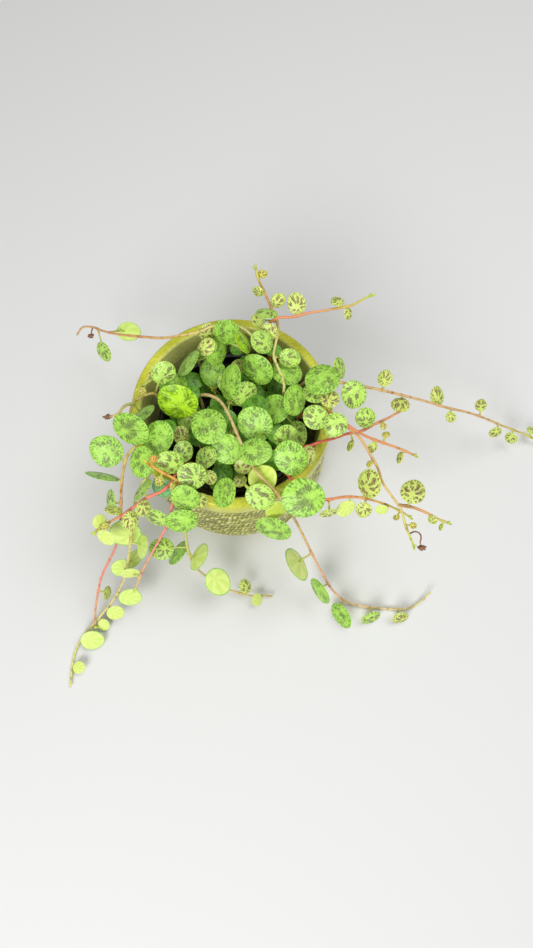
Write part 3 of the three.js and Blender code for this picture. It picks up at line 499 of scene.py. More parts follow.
soil_bottom = GROW_FOOT + GROW_WALL + SOIL_GAP
soil_edge = soil_radius(SOIL_LEVEL - 1)
top_radii = np.linspace(soil_edge - 0.6, 0, TOP_RINGS)
soil_profile = (
    [(0, soil_bottom), (soil_radius(soil_bottom), soil_bottom)]
    + [(soil_radius(h), h) for h in (20, 34, 44)]
    + [(soil_edge, SOIL_LEVEL - 1)]
    + [(radius, SOIL_LEVEL - max(0, radius - SOIL_SHOULDER) * SOIL_SLOPE) for radius in top_radii]
)
soil_bm = spin_profile(soil_profile, SOIL_STEPS)
for vert in soil_bm.verts:
    radius = math.hypot(vert.co.x, vert.co.y)
    if vert.co.z > SOIL_LEVEL - 1.2 and radius < soil_edge - 0.3:
        spot = Vector((vert.co.x, vert.co.y, 0))
        lumps = noise.noise(spot * 0.35) + 0.9 * abs(noise.noise(spot * 0.9))
        vert.co.z += LUMP_HEIGHT * lumps - LUMP_SINK
print("soil faces:", len(soil_bm.faces))

# %% [markdown]
# Moist peat is nearly black and fully matt, and the bark in it is a shade browner. Crumbs and
# grit are a little over a millimetre across.

# %% Potting mix surface
CRUMB_SIZE, GRIT_SIZE = 1.43, 1.25

mix, tree, shader = new_material("peat_and_bark_mix")
place = add_node(tree, "TexCoord", output="Object")
crumbs = add_node(
    tree, "TexNoise",
    {"Vector": place, "Scale": 1 / (CRUMB_SIZE * MM), "Detail": 6.0, "Roughness": 0.7},
)
grit = add_node(tree, "TexVoronoi", {"Vector": place, "Scale": 1 / (GRIT_SIZE * MM)})
colour = add_node(
    tree, "ValToRGB", [crumbs], stops=[(0.35, "0B0806"), (0.55, "241A12"), (0.75, "4A3524")]
)
bump = add_node(tree, "Bump", {"Height": grit, "Strength": 0.8, "Distance": 0.0008})
set_inputs(tree, shader, {"Base Color": colour, "Roughness": 0.95, "Normal": bump})
potting_mix = finish_piece("potting_mix_crumbs", soil_bm, [mix], ["soil"])
print("potting mix done:", potting_mix.name)

# %% [markdown]
# ## Where the stems and leaves grow
#
# The solid model grows the plant by a rule, and the same rule is repeated here, so each leaf
# lands on its solid. Every stem has
#
# - route: points of its curve, from where it leaves the mix to its tip
# - leaves: x, y, z, width, then the direction and the angle that it leans by, in degrees
# - branch: a side shoot with a route and leaves of its own
# - fill: the stretch of the stem that gets low leaves by rule, as shares of its length
# - skin: colours along the stem, each with its share of the way
#
# The stems run from green at the shaded roots to coral and tan in the light, and back to green
# at the growing tip.

# %% The stems
STEMS = {
    "back_left": dict(
        route=[
            (12, 24, 48), (11.5, 25.5, 62), (11.5, 28, 73), (9, 31, 78.5), (4, 34, 80.5),
            (-2, 35, 81), (-9, 34, 81), (-14, 32, 80), (-21, 31, 79), (-30, 31, 76), (-41, 35, 69),
            (-56, 42, 58), (-66, 49, 48), (-72, 54, 42), (-80, 58, 34), (-84, 57, 28),
        ],
        leaves=[(-53, 49, 47, 11, 100, 120), (-67, 43, 37, 10, -130, 60)],
        fill=(0.05, 0.12),
        skin=((0, "A8B450"), (0.3, "CED07A"), (0.42, "D6C27A"), (0.6, "DCA468"), (1, "D8AE78")),
    ),
    "back": dict(
        route=[
            (21, 6, 48), (22, 4, 62), (23, 4, 72), (23.5, 8, 78.5), (21, 14, 80.5), (19, 20, 80.5),
            (20, 27, 80), (21, 34, 80), (20, 39, 80), (18, 44, 80), (16, 49, 80), (14, 54, 80),
            (12, 57, 83), (11, 60, 86),
        ],
        leaves=[
            (14, 59, 84, 4, -90, 35), (12, 51, 82, 5, -110, 60), (21, 46, 83, 6.5, -90, 35),
            (16, 38, 86, 9.5, 80, 35), (12, 36, 84, 6.5, -140, 40), (17, 30, 84, 7.5, -90, 45),
            (26, 20, 78, 9, -90, 40),
        ],
        fill=(0.06, 0.2),
        skin=((0, "A8B454"), (0.3, "CCD07C"), (0.6, "D2CC7C"), (0.85, "DCA868"), (1, "C4C85A")),
    ),
    "back_right": dict(
        route=[
            (17, 22.5, 48), (17.5, 24.5, 62), (16.5, 28, 74), (15.5, 31, 80), (17, 34, 84),
            (21, 36, 85.5), (27, 36, 86), (34, 38, 86), (40, 39, 86), (48, 40, 87), (54, 41, 88),
            (58, 43, 89), (61, 44, 90),
        ],
        leaves=[(29, 41, 89, 8.5, -95, 30), (47, 42, 89, 6, 90, 20), (52, 38, 86, 5, -30, 45)],
        fill=(0.05, 0.15),
        skin=((0, "8A7A46"), (0.4, "E08458"), (0.75, "E09C68"), (1, "C4CC58")),
    ),
    "right_long": dict(
        route=[
            (27, 8, 48), (28.5, 8, 62), (31, 9, 72), (35, 9.5, 78), (41, 9, 80), (49, 7.5, 79.5),
            (60, 7, 76), (70, 7, 71), (80, 7, 65), (90, 7, 59), (100, 7, 52), (114, 8, 42),
            (126, 9, 31), (137, 9, 21), (148, 9, 12), (157, 8, 6), (165, 5, 3), (174, 2, 2),
        ],
        leaves=[
            (40, 7, 85, 15, 100, 14), (48, 14, 81, 9, -10, 50), (54, 2, 80, 11.5, -60, 25),
            (69, 12, 74, 7, -165, 20), (77, 3, 65, 8.5, 90, 20), (97, 12, 53, 8.5, -25, 30),
            (104, 3, 49, 5, -110, 35), (123, 14, 36, 6, 170, 15), (134, 5, 21, 6.5, -90, 60),
            (145, 5, 12, 6.5, -120, 60), (158, 11, 7, 5, 60, 25), (168, 1, 4.5, 4, -90, 20),
        ],
        fill=(0.03, 0.1),
        skin=((0, "B5A066"), (0.3, "D2B67C"), (0.7, "DAAC76"), (1, "C6D058")),
    ),
    "right_mid": dict(
        route=[
            (28, -3, 48), (30, -3, 62), (34, -4, 74), (39, -5, 79), (44, -8, 81), (50, -12, 80.5),
            (55, -15, 79), (61, -17, 76), (68, -18.5, 73), (74, -20, 71), (81, -22, 68),
        ],
        leaves=[
            (43, -2, 84, 8.5, 90, 15), (45, -14, 85, 10, -115, 25), (62, -21, 75.5, 5, -60, 45),
            (68, -15, 75, 3.5, 105, 25), (75, -23, 67, 5, 180, 65),
        ],
        fill=(0.06, 0.16),
        skin=((0, "9A6A4C"), (0.4, "DE7450"), (1, "D8A468")),
    ),
    "right_fork": dict(
        route=[
            (18, -18, 48), (19, -18, 62), (23, -19, 70), (28, -20, 74.5), (33, -21, 76.5),
            (39, -19, 77), (45, -17, 75.5), (51, -14, 73), (58, -12, 71.5), (64, -9, 72),
            (69, -7, 73.5), (75, -4, 75),
        ],
        leaves=[
            (59, -8, 77, 9, -85, 45), (53, -18, 69, 5, 170, 60), (34, -25, 77, 8, -20, 40),
            (67, -11, 75, 3),
        ],
        fill=(0.06, 0.3),
        skin=((0, "8A5A40"), (0.5, "CE5E4A"), (1, "D4A06A")),
    ),
    "right_front": dict(
        route=[
            (26, -10, 48), (28, -10.5, 62), (34, -9, 73), (41, -8.5, 77), (47, -10, 77.5),
            (52, -13, 77), (57, -18, 76.5), (61, -25, 75.5), (64, -30, 74), (66, -36, 72.5),
            (71, -43, 70.5), (74, -47, 69), (76, -53, 66), (80, -61, 61),
        ],
        leaves=[(37, -9, 80, 10.5, -95, 25), (79, -54, 68, 3), (60, -29, 77, 3, 180, 30)],
        branch=dict(
            route=[(73, -45, 70), (80, -46, 67.5), (86, -48, 65.5), (91, -50, 63), (96, -51, 60)],
            leaves=[
                (79, -40, 72, 11, 90, 15), (88, -51, 66, 4, -125, 40), (93, -53, 60, 3, 175, 60),
            ],
        ),
        fill=(0.05, 0.14),
        skin=((0, "B08A56"), (0.4, "DAA068"), (0.8, "DABC76"), (1, "C8D460")),
    ),
    "front_right": dict(
        route=[
            (16, -23, 48), (19, -27, 62), (21, -28.5, 71.5), (24.5, -33, 76), (29, -39, 77.7),
            (35, -43.5, 78.5), (41, -45, 78), (47, -43.5, 76), (52, -42.5, 73), (58, -42, 69),
            (64, -42.5, 65), (70, -43.5, 61), (75, -45, 58), (80, -47, 55),
        ],
        leaves=[
            (31, -46, 85, 16.5, -95, 22), (42, -50, 75, 8, -80, 80), (50, -47, 70, 8.5, 110, 125),
            (58, -47, 68, 7, -100, 40), (60, -37, 74, 12, -155, 50), (67, -45, 60, 5.5, 80, 125),
            (74, -48, 57, 3, -100, 45),
        ],
        fill=(0.05, 0.16),
        skin=((0, "B07E50"), (0.35, "E6785C"), (0.7, "E09E68"), (1, "D4D460")),
    ),
    "front_arc": dict(
        route=[
            (-14, 5, 48), (-14, 5, 62), (-14, 4, 73), (-10, 2, 79), (-5, -1, 81), (-1, -7, 81.5),
            (2, -14, 81.5), (5, -21, 81), (10, -31, 80), (14, -36, 79), (19, -41, 78),
            (23, -45, 75), (27, -49, 67), (33, -56, 50), (42, -67, 25), (50, -76, 10),
            (57, -80, 3.5), (65, -82, 1.7), (76, -83, 1.4), (88, -83, 1.6), (95, -79, 3),
            (99, -75, 5.5),
        ],
        leaves=[
            (11, -26, 85, 13, 90, 10), (20, -48, 73, 9, 105, 125), (19, -55, 66, 15.5, -110, 68),
            (30, -66, 38, 17, -155, 120), (42, -76, 16, 14, -145, 75), (53, -87, 8, 12.5, -145, 60),
            (68, -88, 6, 10, -70, 65), (83, -88, 5.5, 8.5, -75, 60),
        ],
        fill=(0.03, 0.07),
        skin=((0, "AA9658"), (0.25, "CEB87C"), (0.5, "D8BC78"), (0.7, "E8AE8C"), (1, "DCDC98")),
    ),
    "front_small": dict(
        route=[
            (-11, -25, 48), (-12, -28, 62), (-13.5, -31.5, 72), (-16, -37, 76.5), (-18, -45, 76.5),
            (-19, -50, 71), (-20, -57, 57), (-20, -62, 43), (-19, -65, 35), (-16, -68, 25),
            (-12, -70, 17), (-4, -74, 8), (4, -76, 4.5), (10, -77, 3), (14, -76.5, 2.5),
            (19, -77, 2.5),
        ],
        leaves=[
            (-18, -45, 81, 12, -85, 50), (-20, -53, 73, 12.5, -80, 50),
            (-25, -62, 44, 12.5, 150, 55), (-15, -63, 43, 13, -20, 125),
            (-32, -61, 49, 10.5, -135, 15), (-8, -72, 21, 13, 165, 150), (5, -73, 10, 7, -10, 35),
            (11, -79, 6, 6, 165, 145), (-12, -45, 76, 6.5, -15, 40),
        ],
        fill=(0.04, 0.12),
        skin=((0, "A2B25A"), (0.4, "C0CC70"), (0.8, "D6BC80"), (1, "D8D08C")),
    ),
    "front_pink": dict(
        route=[
            (-16, -20, 48), (-17, -25, 61), (-18, -29, 70), (-20, -34, 75.5), (-21.5, -39.5, 77.2),
            (-24, -46, 76), (-26, -52, 69), (-30, -56, 60), (-35, -61, 50), (-40, -67, 42),
            (-43, -71, 36), (-46, -76, 30),
        ],
        leaves=[(-31, -51, 70, 10, -105, 60), (-48, -70, 36, 8.5, 100, 110)],
        fill=(0.05, 0.18),
        skin=((0, "B09A5C"), (0.35, "F28E7E"), (0.75, "EC9E84"), (1, "DABC7C")),
    ),
    "left_front": dict(
        route=[
            (-28, -4, 48), (-30, -7, 61), (-33, -12, 72.5), (-36.5, -16, 75.5), (-40.5, -20, 75.7),
            (-44.5, -24.5, 74.8), (-47, -30, 69.5), (-49, -35, 62), (-50, -40, 56), (-51, -45, 50),
            (-53, -53, 41), (-57, -60, 34), (-64, -70, 24), (-67, -78, 17), (-69, -86, 11),
            (-69.5, -92, 6.5),
        ],
        leaves=[
            (-54, -22, 73, 14, -90, 30), (-57, -31, 64, 14.5, 75, 65), (-55, -40, 55, 11, -170, 60),
            (-62, -77, 18, 7, -10, 75),
        ],
        fill=(0.05, 0.14),
        skin=((0, "AAB25A"), (0.35, "CDBE6C"), (0.6, "E49C72"), (0.8, "EE907A"), (1, "DAAE7A")),
    ),
    "front_left_long": dict(
        route=[
            (-23.5, -15, 48), (-25.5, -19, 61), (-27, -22, 69), (-30, -26, 75), (-34, -33, 77),
            (-38, -38.5, 75), (-41, -43, 69), (-44, -48, 60), (-46, -56, 49), (-49, -63, 37),
            (-52, -70, 27), (-58, -78, 16), (-65, -85, 8.5), (-71, -91, 4.5), (-77, -98, 2.3),
            (-80, -105, 1.7), (-81, -113, 1.5), (-81, -121, 1.5),
        ],
        leaves=[
            (-49, -53, 47, 14, 110, 130), (-47, -63, 34, 9, -25, 150),
            (-54, -66.5, 28, 9.5, 115, 135), (-41, -59, 46, 11, 0, 125),
            (-51, -79, 17, 10.5, 110, 130), (-59, -86, 11, 8.5, 110, 130),
            (-66, -92, 6.5, 6, 115, 150), (-71, -99, 5, 10.5, 115, 145),
            (-77, -112, 3.8, 6, 10, 170),
        ],
        fill=(0.04, 0.1),
        skin=((0, "AAB860"), (0.35, "D2D47E"), (0.7, "E4D290"), (1, "DADC7A")),
    ),
    "left_red": dict(
        route=[
            (-19, -20, 48), (-20, -24, 61), (-21, -28, 70), (-23, -33, 76), (-25, -38.5, 78.7),
            (-29, -42, 79), (-34, -44, 78.5), (-40, -47, 75), (-47, -50, 69), (-54, -52, 63),
            (-60, -55, 59),
        ],
        leaves=[
            (-36, -41, 79, 11, 145, 55), (-36, -48, 75, 7.5, -40, 60), (-42, -53, 74, 7.5, -35, 35),
            (-50, -48, 71, 6.5, 65, 40), (-58, -51, 61, 6.5, 145, 140), (-55, -57, 58, 8, 70, 130),
            (-54, -54, 66, 3.5, -75, 40), (-29, -39, 75, 9.5, -125, 45),
        ],
        fill=(0.06, 0.18),
        skin=((0, "AA9A58"), (0.4, "EC7A68"), (0.8, "E6886E"), (1, "CED058")),
    ),
    "left_up": dict(
        route=[
            (-27, 3, 48), (-29, 3, 60), (-32.5, 4, 70), (-34, 4, 76), (-37, 2, 79), (-42, -1, 78.5),
            (-44, -6, 77), (-45, -10, 75),
        ],
        leaves=[
            (-42, -15, 82, 16, -115, 55), (-38, -7, 79, 12.5, 135, 50),
            (-29, 11, 81, 10.5, -85, 50),
        ],
        branch=dict(
            route=[(-42, -1, 78.5), (-46, -3, 79), (-48, -6, 79), (-50, -7, 77.5), (-53, -7, 76)],
            leaves=[],
        ),
        fill=(0.08, 0.4),
        skin=((0, "9AAA54"), (0.5, "CCC070"), (1, "CEB674")),
    ),
    "left_tip": dict(
        route=[
            (-22, 16, 48), (-24, 17, 60), (-28, 17, 71), (-31, 13, 78.5), (-35, 8, 81),
            (-39, 4, 82),
        ],
        leaves=[(-34, 11, 82, 3.5, 90, 40), (-38, 2, 83, 3.5, -90, 40)],
        fill=(0.08, 0.5),
        skin=((0, "9FB054"), (1, "B8C85C")),
    ),
    "orange_shoot": dict(
        route=[
            (-13, -14, 48), (-14, -19, 62), (-15, -28, 73), (-16, -35, 80), (-20, -38, 82.5),
            (-25, -36, 83.5), (-31, -33, 85), (-34, -31, 86),
        ],
        leaves=[
            (-31, -30, 87, 3.5, -75, 45), (-29, -38, 82, 4, -75, 35), (-23, -40, 81, 4, -15, 45),
        ],
        fill=(0.08, 0.4),
        skin=((0, "AA9A54"), (0.5, "DAAA58"), (1, "DC9C38")),
    ),
    "crown_left": dict(
        route=[
            (-8, -7, 48), (-8, -9, 61), (-10, -8, 70), (-15, -4, 73), (-21, 2, 71), (-26, 6, 67),
        ],
        leaves=[
            (-9, -13, 81, 15.5, 90, 8), (-23, -1, 78, 17, -90, 55), (-26, 9, 73, 13, 95, 15),
            (-20, -5, 67, 9, -80, 30),
        ],
        fill=(0.1, 1),
    ),
    "crown_right": dict(
        route=[(14, -5, 48), (14, -7, 61), (15, -8, 70), (20, -6, 72), (26, -3, 75)],
        leaves=[
            (11, -12, 80, 15, -105, 35), (20, -3, 75, 12.5, -160, 25), (28, -1, 80, 12.5, -30, 45),
            (29, -13, 70, 11, -165, 35),
        ],
        fill=(0.1, 0.9),
    ),
    "crown_middle": dict(
        route=[(-1, 4, 48), (-1, 3, 60), (-2, 3, 68), (-1, 1, 72)],
        leaves=[(0, 8, 79, 14.5, -165, 52), (6, 5, 73, 11, -45, 40), (10, -1, 70, 11, -150, 30)],
        fill=(0.1, 1),
    ),
    "crown_front_middle": dict(
        route=[(1, -15, 48), (1, -18, 61), (1, -22, 70), (5, -27, 70)],
        leaves=[
            (-1, -23, 79, 13, -85, 25), (6, -29, 74, 8, -90, 45), (14, -26, 71, 7.5, -90, 30),
            (0, -12, 67, 8.5, -160, 35),
        ],
        fill=(0.1, 1),
    ),
    "crown_front_left": dict(
        route=[(-7, -19, 48), (-8, -23, 61), (-10, -28, 70), (-12, -32, 74)],
        leaves=[
            (-15, -36, 83, 11.5, -80, 35), (-10, -26, 77, 9, -155, 15), (-9, -33, 70, 7, -85, 30),
        ],
        fill=(0.1, 1),
    ),
    "crown_left_low": dict(
        route=[(-19, -13, 48), (-20, -16, 61), (-21, -21, 68), (-24, -25, 73)],
        leaves=[
            (-25, -29, 79, 11, -75, 45), (-20, -23, 75, 9, -25, 30), (-22, -13, 68, 7.5, -80, 30),
        ],
        fill=(0.1, 1),
    ),
    "crown_far_left": dict(
        route=[(-22, -7, 48), (-24, -10, 61), (-28, -16, 71), (-34, -25, 76)],
        leaves=[(-31, -18, 79, 14, -125, 12), (-37, -29, 80, 12.5, -145, 28)],
        fill=(0.1, 0.8),
    ),
    "crown_front": dict(
        route=[(6, -24, 48), (6, -28, 61), (5, -33, 71), (6, -37, 74.5), (9, -40, 75)],
        leaves=[
            (-2, -42, 78, 12.5, -165, 42), (13, -44, 79, 11.5, -90, 30),
            (14, -35, 74.5, 12, 65, 145), (4, -34, 68, 6.5, -85, 30),
        ],
        fill=(0.1, 0.7),
    ),
    "crown_far_right": dict(
        route=[(21.5, -17.5, 48), (22.5, -20, 61), (24, -25, 70), (27, -27, 75)],
        leaves=[(26, -28, 82, 14, -95, 28), (24, -17, 78, 11, -75, 60)],
        fill=(0.1, 1),
    ),
    "crown_right_back": dict(
        route=[(26, 4, 48), (27, 4, 60), (30, 4, 68), (33, 3, 71)],
        leaves=[(37, 4, 75.5, 10.5, 110, 10)],
        fill=(0.1, 1),
    ),
    "crown_back_right": dict(
        route=[(15, 14, 48), (15, 15, 60), (17, 17, 66), (19, 18, 67.5)],
        leaves=[(25, 15, 73, 13, 105, 15), (12, 15, 76.5, 14.5, -115, 58)],
        fill=(0.1, 1),
    ),
    "crown_back": dict(
        route=[(7, 19, 48), (7, 21, 60), (8, 25, 68), (4, 28, 72), (-1, 30, 73)],
        leaves=[
            (14, 26, 79.5, 10.5, -30, 40), (5.5, 27, 77, 11, 15, 58), (-2, 32, 78, 12.5, -95, 65),
            (3, 20, 68, 7.5, -85, 35),
        ],
        fill=(0.1, 0.8),
    ),
    "crown_back_left": dict(
        route=[(-15, 22, 48), (-15, 23, 60), (-16, 24, 67), (-18, 22, 71)],
        leaves=[
            (-11, 25, 79, 8, -145, 28), (-7, 26, 72, 12, -25, 50), (-19, 18, 77, 13.5, 155, 50),
            (-11, 33, 78, 8, -85, 55),
        ],
        fill=(0.1, 1),
    ),
    "crown_deep": dict(
        route=[(-6, 12, 48), (-7, 12, 57), (-9, 12, 61)],
        leaves=[(-9, 18, 67, 12.5, -85, 30), (-2, 13, 65, 10, 0, 30)],
        fill=(0.1, 1),
    ),
}
GREEN_SKIN = ((0, "8FA44C"), (1, "B9C860"))
BROWN = "8A6248"
# Where a tip has dried: a bare curled stalk, and the crumpled leaflet at its end.
DRIED = {
    "back_left": [(-72.6, 54, 41.2), (-73.2, 52.6, 40.4), (-73.6, 51, 39.4)],
    "right_front": [
        (78.4, -56.6, 63.4), (80.4, -56, 65), (82.4, -57, 65), (83, -59, 64), (82.6, -60.6, 63),
        (83.6, -62, 62.4),
    ],
    "left_up": [(-50.5, -7, 77.3), (-52, -6.8, 76.4), (-53.6, -6.6, 76)],
}
CUT_TIPS = ("front_arc", "front_small", "front_left_long", "back_left", "left_up")
print("stems:", len(STEMS), "leaves:", sum(len(s["leaves"]) for s in STEMS.values()))

# %% [markdown]
# A stem follows a centripetal Catmull-Rom curve, which passes through every point of its route
# without loops. Points at even distances come from measuring the curve first.

# %% Curves
ROOT_DEPTH = 9
STEM_RADIUS, STALK_RADIUS = 0.75, 0.45
CURVE_SHARES = np.linspace(0, 1, 201)  # where a curve is measured
RING_GAP, LONG_STEM = (6, 10), 140  # between two rings of a short stem and of a long one


def curve_points(route, shares):
    """Points of the curve through a route, at shares of its parameter from 0 to 1."""
    p = np.array(route, float)
    p = np.vstack([2 * p[0] - p[1], p, 2 * p[-1] - p[-2]])
    place = np.asarray(shares) * (len(p) - 3)
    span = np.minimum(place.astype(int), len(p) - 4)
    w = (place - span)[:, None]
    a, b, c, d = (p[span + k] for k in range(4))
    ab, bc, cd = (
        ((q - r) ** 2).sum(1, keepdims=True) ** 0.25 for q, r in ((a, b), (b, c), (c, d))
    )
    leave = ((b - a) / ab - (c - a) / (ab + bc) + (c - b) / bc) * bc
    arrive = ((c - b) / bc - (d - b) / (bc + cd) + (d - c) / cd) * bc
    bend = 3 * (c - b) - 2 * leave - arrive
    return b + w * (leave + w * (bend + w * (2 * (b - c) + leave + arrive)))


def running_length(points):
    """The distance along a line of points, at each of them."""
    return np.concatenate([[0], np.cumsum(np.linalg.norm(np.diff(points, axis=0), axis=1))])


def even_points(route, steps):
    """Points at even distances along the curve."""
    run = running_length(curve_points(route, CURVE_SHARES))
    wanted = np.arange(steps + 1) / steps * run[-1]
    return curve_points(route, np.interp(wanted, run, CURVE_SHARES))


def walk(rings):
    """Points less than a millimetre apart on the straight lines between rings."""
    lines = [rings[:1]]
    for start, end in zip(rings, rings[1:]):
        count = math.ceil(np.linalg.norm(end - start))
        lines.append(start + (end - start) * (np.arange(1, count + 1) / count)[:, None])
    return np.vstack(lines)


def between(span, share):
    """The value that lies a share of the way along a span."""
    return span[0] + (span[1] - span[0]) * share


def grow_line(route, bare):
    """One stem or side shoot. Its first points, up to bare, bear no leaves."""
    length = running_length(curve_points(route, CURVE_SHARES))[-1]
    steps = math.ceil(length / between(RING_GAP, min(length / LONG_STEM, 1)))
    points = walk(even_points(route, steps))
    return {"route": route, "length": length, "bare": bare, "points": points}


def buried(route):
    """A route with its first point at the surface of the mix and two below it."""
    x, y, _ = route[0]
    depths = (SOIL_LEVEL - ROOT_DEPTH, SOIL_LEVEL - ROOT_DEPTH / 2, SOIL_LEVEL + 1)
    return [(x, y, z) for z in depths] + list(route[1:])


# %% [markdown]
# A blade is a middle, three axes (across, along to the tip, and the normal of its upper face),
# half a width and half a length. Many blades are handled at once, one row each, because every
# leaf tries a few dozen sizes, leans and heights and takes the first that is clear.

# %% Blades
LENGTH_RATIO, BELLY, CROWN = 1.08, 0.5, 0.9
CLEARANCE = 0.4
RING_POINTS, INNER_RING = 16, 0.55
RING = np.arange(RING_POINTS) * math.tau / RING_POINTS
SHARES = np.concatenate([[0], np.ones(RING_POINTS), np.full(RING_POINTS, INNER_RING)])
TURNS = np.concatenate([[0], RING, RING])
RIM = slice(1, 1 + RING_POINTS)  # the rim's points in a blade's outline
THICKNESS = (SHARES != 1)[:, None] * BELLY * (1 - INNER_RING**2)
LEAST_IN_PLANE, SPARE_AXIS = 0.3, (0.3, 1, 0)


class Blades:
    """Leaf blades, one row each."""

    def __init__(self, *columns):
        self.columns = columns
        self.middle, self.across, self.along, self.normal = columns[:4]
        self.half_width, self.half_length = columns[4:]

    def take(self, rows):
        return Blades(*(column[rows] for column in self.columns))

    def joined(self, others):
        return Blades(*(np.concatenate(pair) for pair in zip(self.columns, others.columns)))

    def outline(self):
        """Points of each blade: its middle, its rim and a ring between them."""
        u = (SHARES * np.cos(TURNS))[:, None] * (self.half_width[:, None] * self.across)[:, None]
        v = (SHARES * np.sin(TURNS))[:, None] * (self.half_length[:, None] * self.along)[:, None]
        return self.middle[:, None] + u + v

    def local(self, points, margin):
        """Points in each blade's own axes, its rim a unit circle. The last axis is the blades'."""
        x, y, z = (
            points @ axis.T - (self.middle * axis).sum(1)
            for axis in (self.across, self.along, self.normal)
        )
        return x / (self.half_width + margin), y / (self.half_length + margin), z

    def near(self, points, thickness):
        """Where points with some thickness come too near a blade, which thins to its rim."""
        margin = thickness + CLEARANCE
        x, y, z = self.local(points, margin)
        full = 1 - x * x - y * y
        return (full >= 0) & (z < CROWN * full + margin) & (z > -BELLY * full - margin)

    def pierced(self, rims):
        """Where a rim goes through a blade."""
        x, y, z = (np.moveaxis(value, 1, -1) for value in self.local(rims, CLEARANCE))
        step = z - np.roll(z, -1, -1)
        share = z / np.where(step == 0, 1, step)
        cut_x, cut_y = (k + (np.roll(k, -1, -1) - k) * share for k in (x, y))
        cut = (z > 0) != (np.roll(z, -1, -1) > 0)
        first = np.argsort(~cut, axis=-1, kind="stable")[..., :2]
        ax, bx = np.moveaxis(np.take_along_axis(cut_x, first, -1), -1, 0)
        ay, by = np.moveaxis(np.take_along_axis(cut_y, first, -1), -1, 0)
        dx, dy = bx - ax, by - ay
        near = np.clip(-(ax * dx + ay * dy) / np.maximum(dx * dx + dy * dy, 1e-9), 0, 1)
        return (cut.sum(-1) >= 2) & (np.hypot(ax + dx * near, ay + dy * near) < 1)


def blades_at(middles, widths, direction, leans, way_out):
    """Blades that lean in one direction by several angles, their tips away from the stem."""
    turn, tilt = math.radians(direction), np.radians(leans)
    normal = np.column_stack(
        [np.sin(tilt) * math.cos(turn), np.sin(tilt) * math.sin(turn), np.cos(tilt)]
    )
    along = way_out - normal * (normal @ way_out)[:, None]
    steep = np.linalg.norm(along, axis=1) < LEAST_IN_PLANE * np.linalg.norm(way_out)
    along[steep] = np.cross(normal[steep], SPARE_AXIS)
    along /= np.linalg.norm(along, axis=1, keepdims=True)
    half = widths / 2
    return Blades(middles, np.cross(along, normal), along, normal, half, half * LENGTH_RATIO)


# %% [markdown]
# A leaf keeps clear of the pots, the mix and the table, of other stems, of other blades and of
# their stalks. The first test that fails settles it, so the quick ones come first.

# %% Room for a leaf
RIM_ROOM = 37.7, 45.3, 72  # no leaf comes between these radii below this height
TABLE_GAP = 0.35
ON_ITS_STEM = 0.1  # a blade may touch the stem that bears it
SIZES, FLATTER = (1, 0.88), (1, 0.75, 0.5)
LIFTS = (0, 0.8, -0.8, 1.6, -1.6, 2.5, -2.5, 3.5, -3.5, 5, -5, 6.5)
TRIES = np.array([(s, f, lift) for s in SIZES for f in FLATTER for lift in LIFTS])
TOWARDS_VIEWER = np.array([0, -0.28, 0.96])
STALK_STEPS = 24
SEARCH_MARGIN = 8  # covers the highest lift and the gap that is kept from a stem
plant = []


def in_the_way(points, margin):
    """Where points are inside the pots, the mix or the table, each grown by a margin."""
    radius, z = np.hypot(points[..., 0], points[..., 1]), points[..., 2]
    apart = CLEARANCE + margin
    in_wall = (radius > RIM_ROOM[0] - apart) & (z < RIM_ROOM[2] + apart)
    in_edge = (radius > GROW_INNER_RADIUS - apart) & (z < GROW_RIM_HEIGHT + apart)
    in_pot = (z < SOIL_LEVEL + 1 + margin) | in_wall | in_edge
    return (z < TABLE_GAP + margin) | ((radius <= RIM_ROOM[1] + margin) & in_pot)


def closer(points, others, limit):
    """For each row of points, whether any of them is closer to any other point than a limit."""
    return (((points[:, :, None] - others) ** 2).sum(-1) < limit**2).any((1, 2))


def blocked(blades, stalks, other, own, wanted, reach):
    """Which of the tried leaves come too near one stem and its leaves."""
    line = other["points"][((other["points"] - wanted) ** 2).sum(1) < reach**2]
    blade_reach = blades.half_length + STEM_RADIUS + CLEARANCE
    within = ((line[:, None] - blades.middle) ** 2).sum(-1) < blade_reach**2
    bad = (within & blades.near(line, ON_ITS_STEM if own else STEM_RADIUS)).any(0)
    if not own:
        bad |= closer(stalks, line, STEM_RADIUS + STALK_RADIUS + CLEARANCE)
    if other["blades"] is None:
        return bad
    away = np.linalg.norm(other["blades"].middle - wanted, axis=1)
    rows = away < reach + other["reach"]
    placed, outlines, its_stalks = (
        other["blades"].take(rows), other["outlines"][rows], other["stalks"][rows]
    )
    if not len(outlines):
        return bad
    mine = blades.outline()
    apart = np.linalg.norm(blades.middle[:, None] - placed.middle, axis=-1)
    in_reach = apart <= blades.half_length[:, None] + placed.half_length + CLEARANCE
    cross = placed.near(mine, THICKNESS).any(1) | blades.near(outlines, THICKNESS).any(1).T
    cross |= placed.pierced(mine[:, RIM]) | blades.pierced(outlines[:, RIM]).T
    bad |= (cross & in_reach).any(1)
    bad |= placed.near(stalks, STALK_RADIUS).any((1, 2))
    bad |= blades.near(its_stalks, STALK_RADIUS).any((0, 1))
    if not own:
        bad |= closer(stalks, its_stalks.reshape(-1, 3), 2 * STALK_RADIUS + CLEARANCE)
    return bad


def first_clear(blades, stalks, stem, wanted):
    """The number of the first tried leaf that is clear of everything, or None."""
    good = ~in_the_way(blades.outline(), BELLY).any(1)
    good &= ~in_the_way(stalks, STALK_RADIUS).any(1)
    reach = np.linalg.norm(stalks - wanted, axis=-1).max() + blades.half_length.max()
    reach += SEARCH_MARGIN
    for other in plant:
        rows = np.flatnonzero(good)
        if not len(rows):
            return None
        tried = blades.take(rows), stalks[rows]
        good[rows[blocked(*tried, other, other is stem, wanted, reach)]] = False
    return int(np.argmax(good)) if good.any() else None


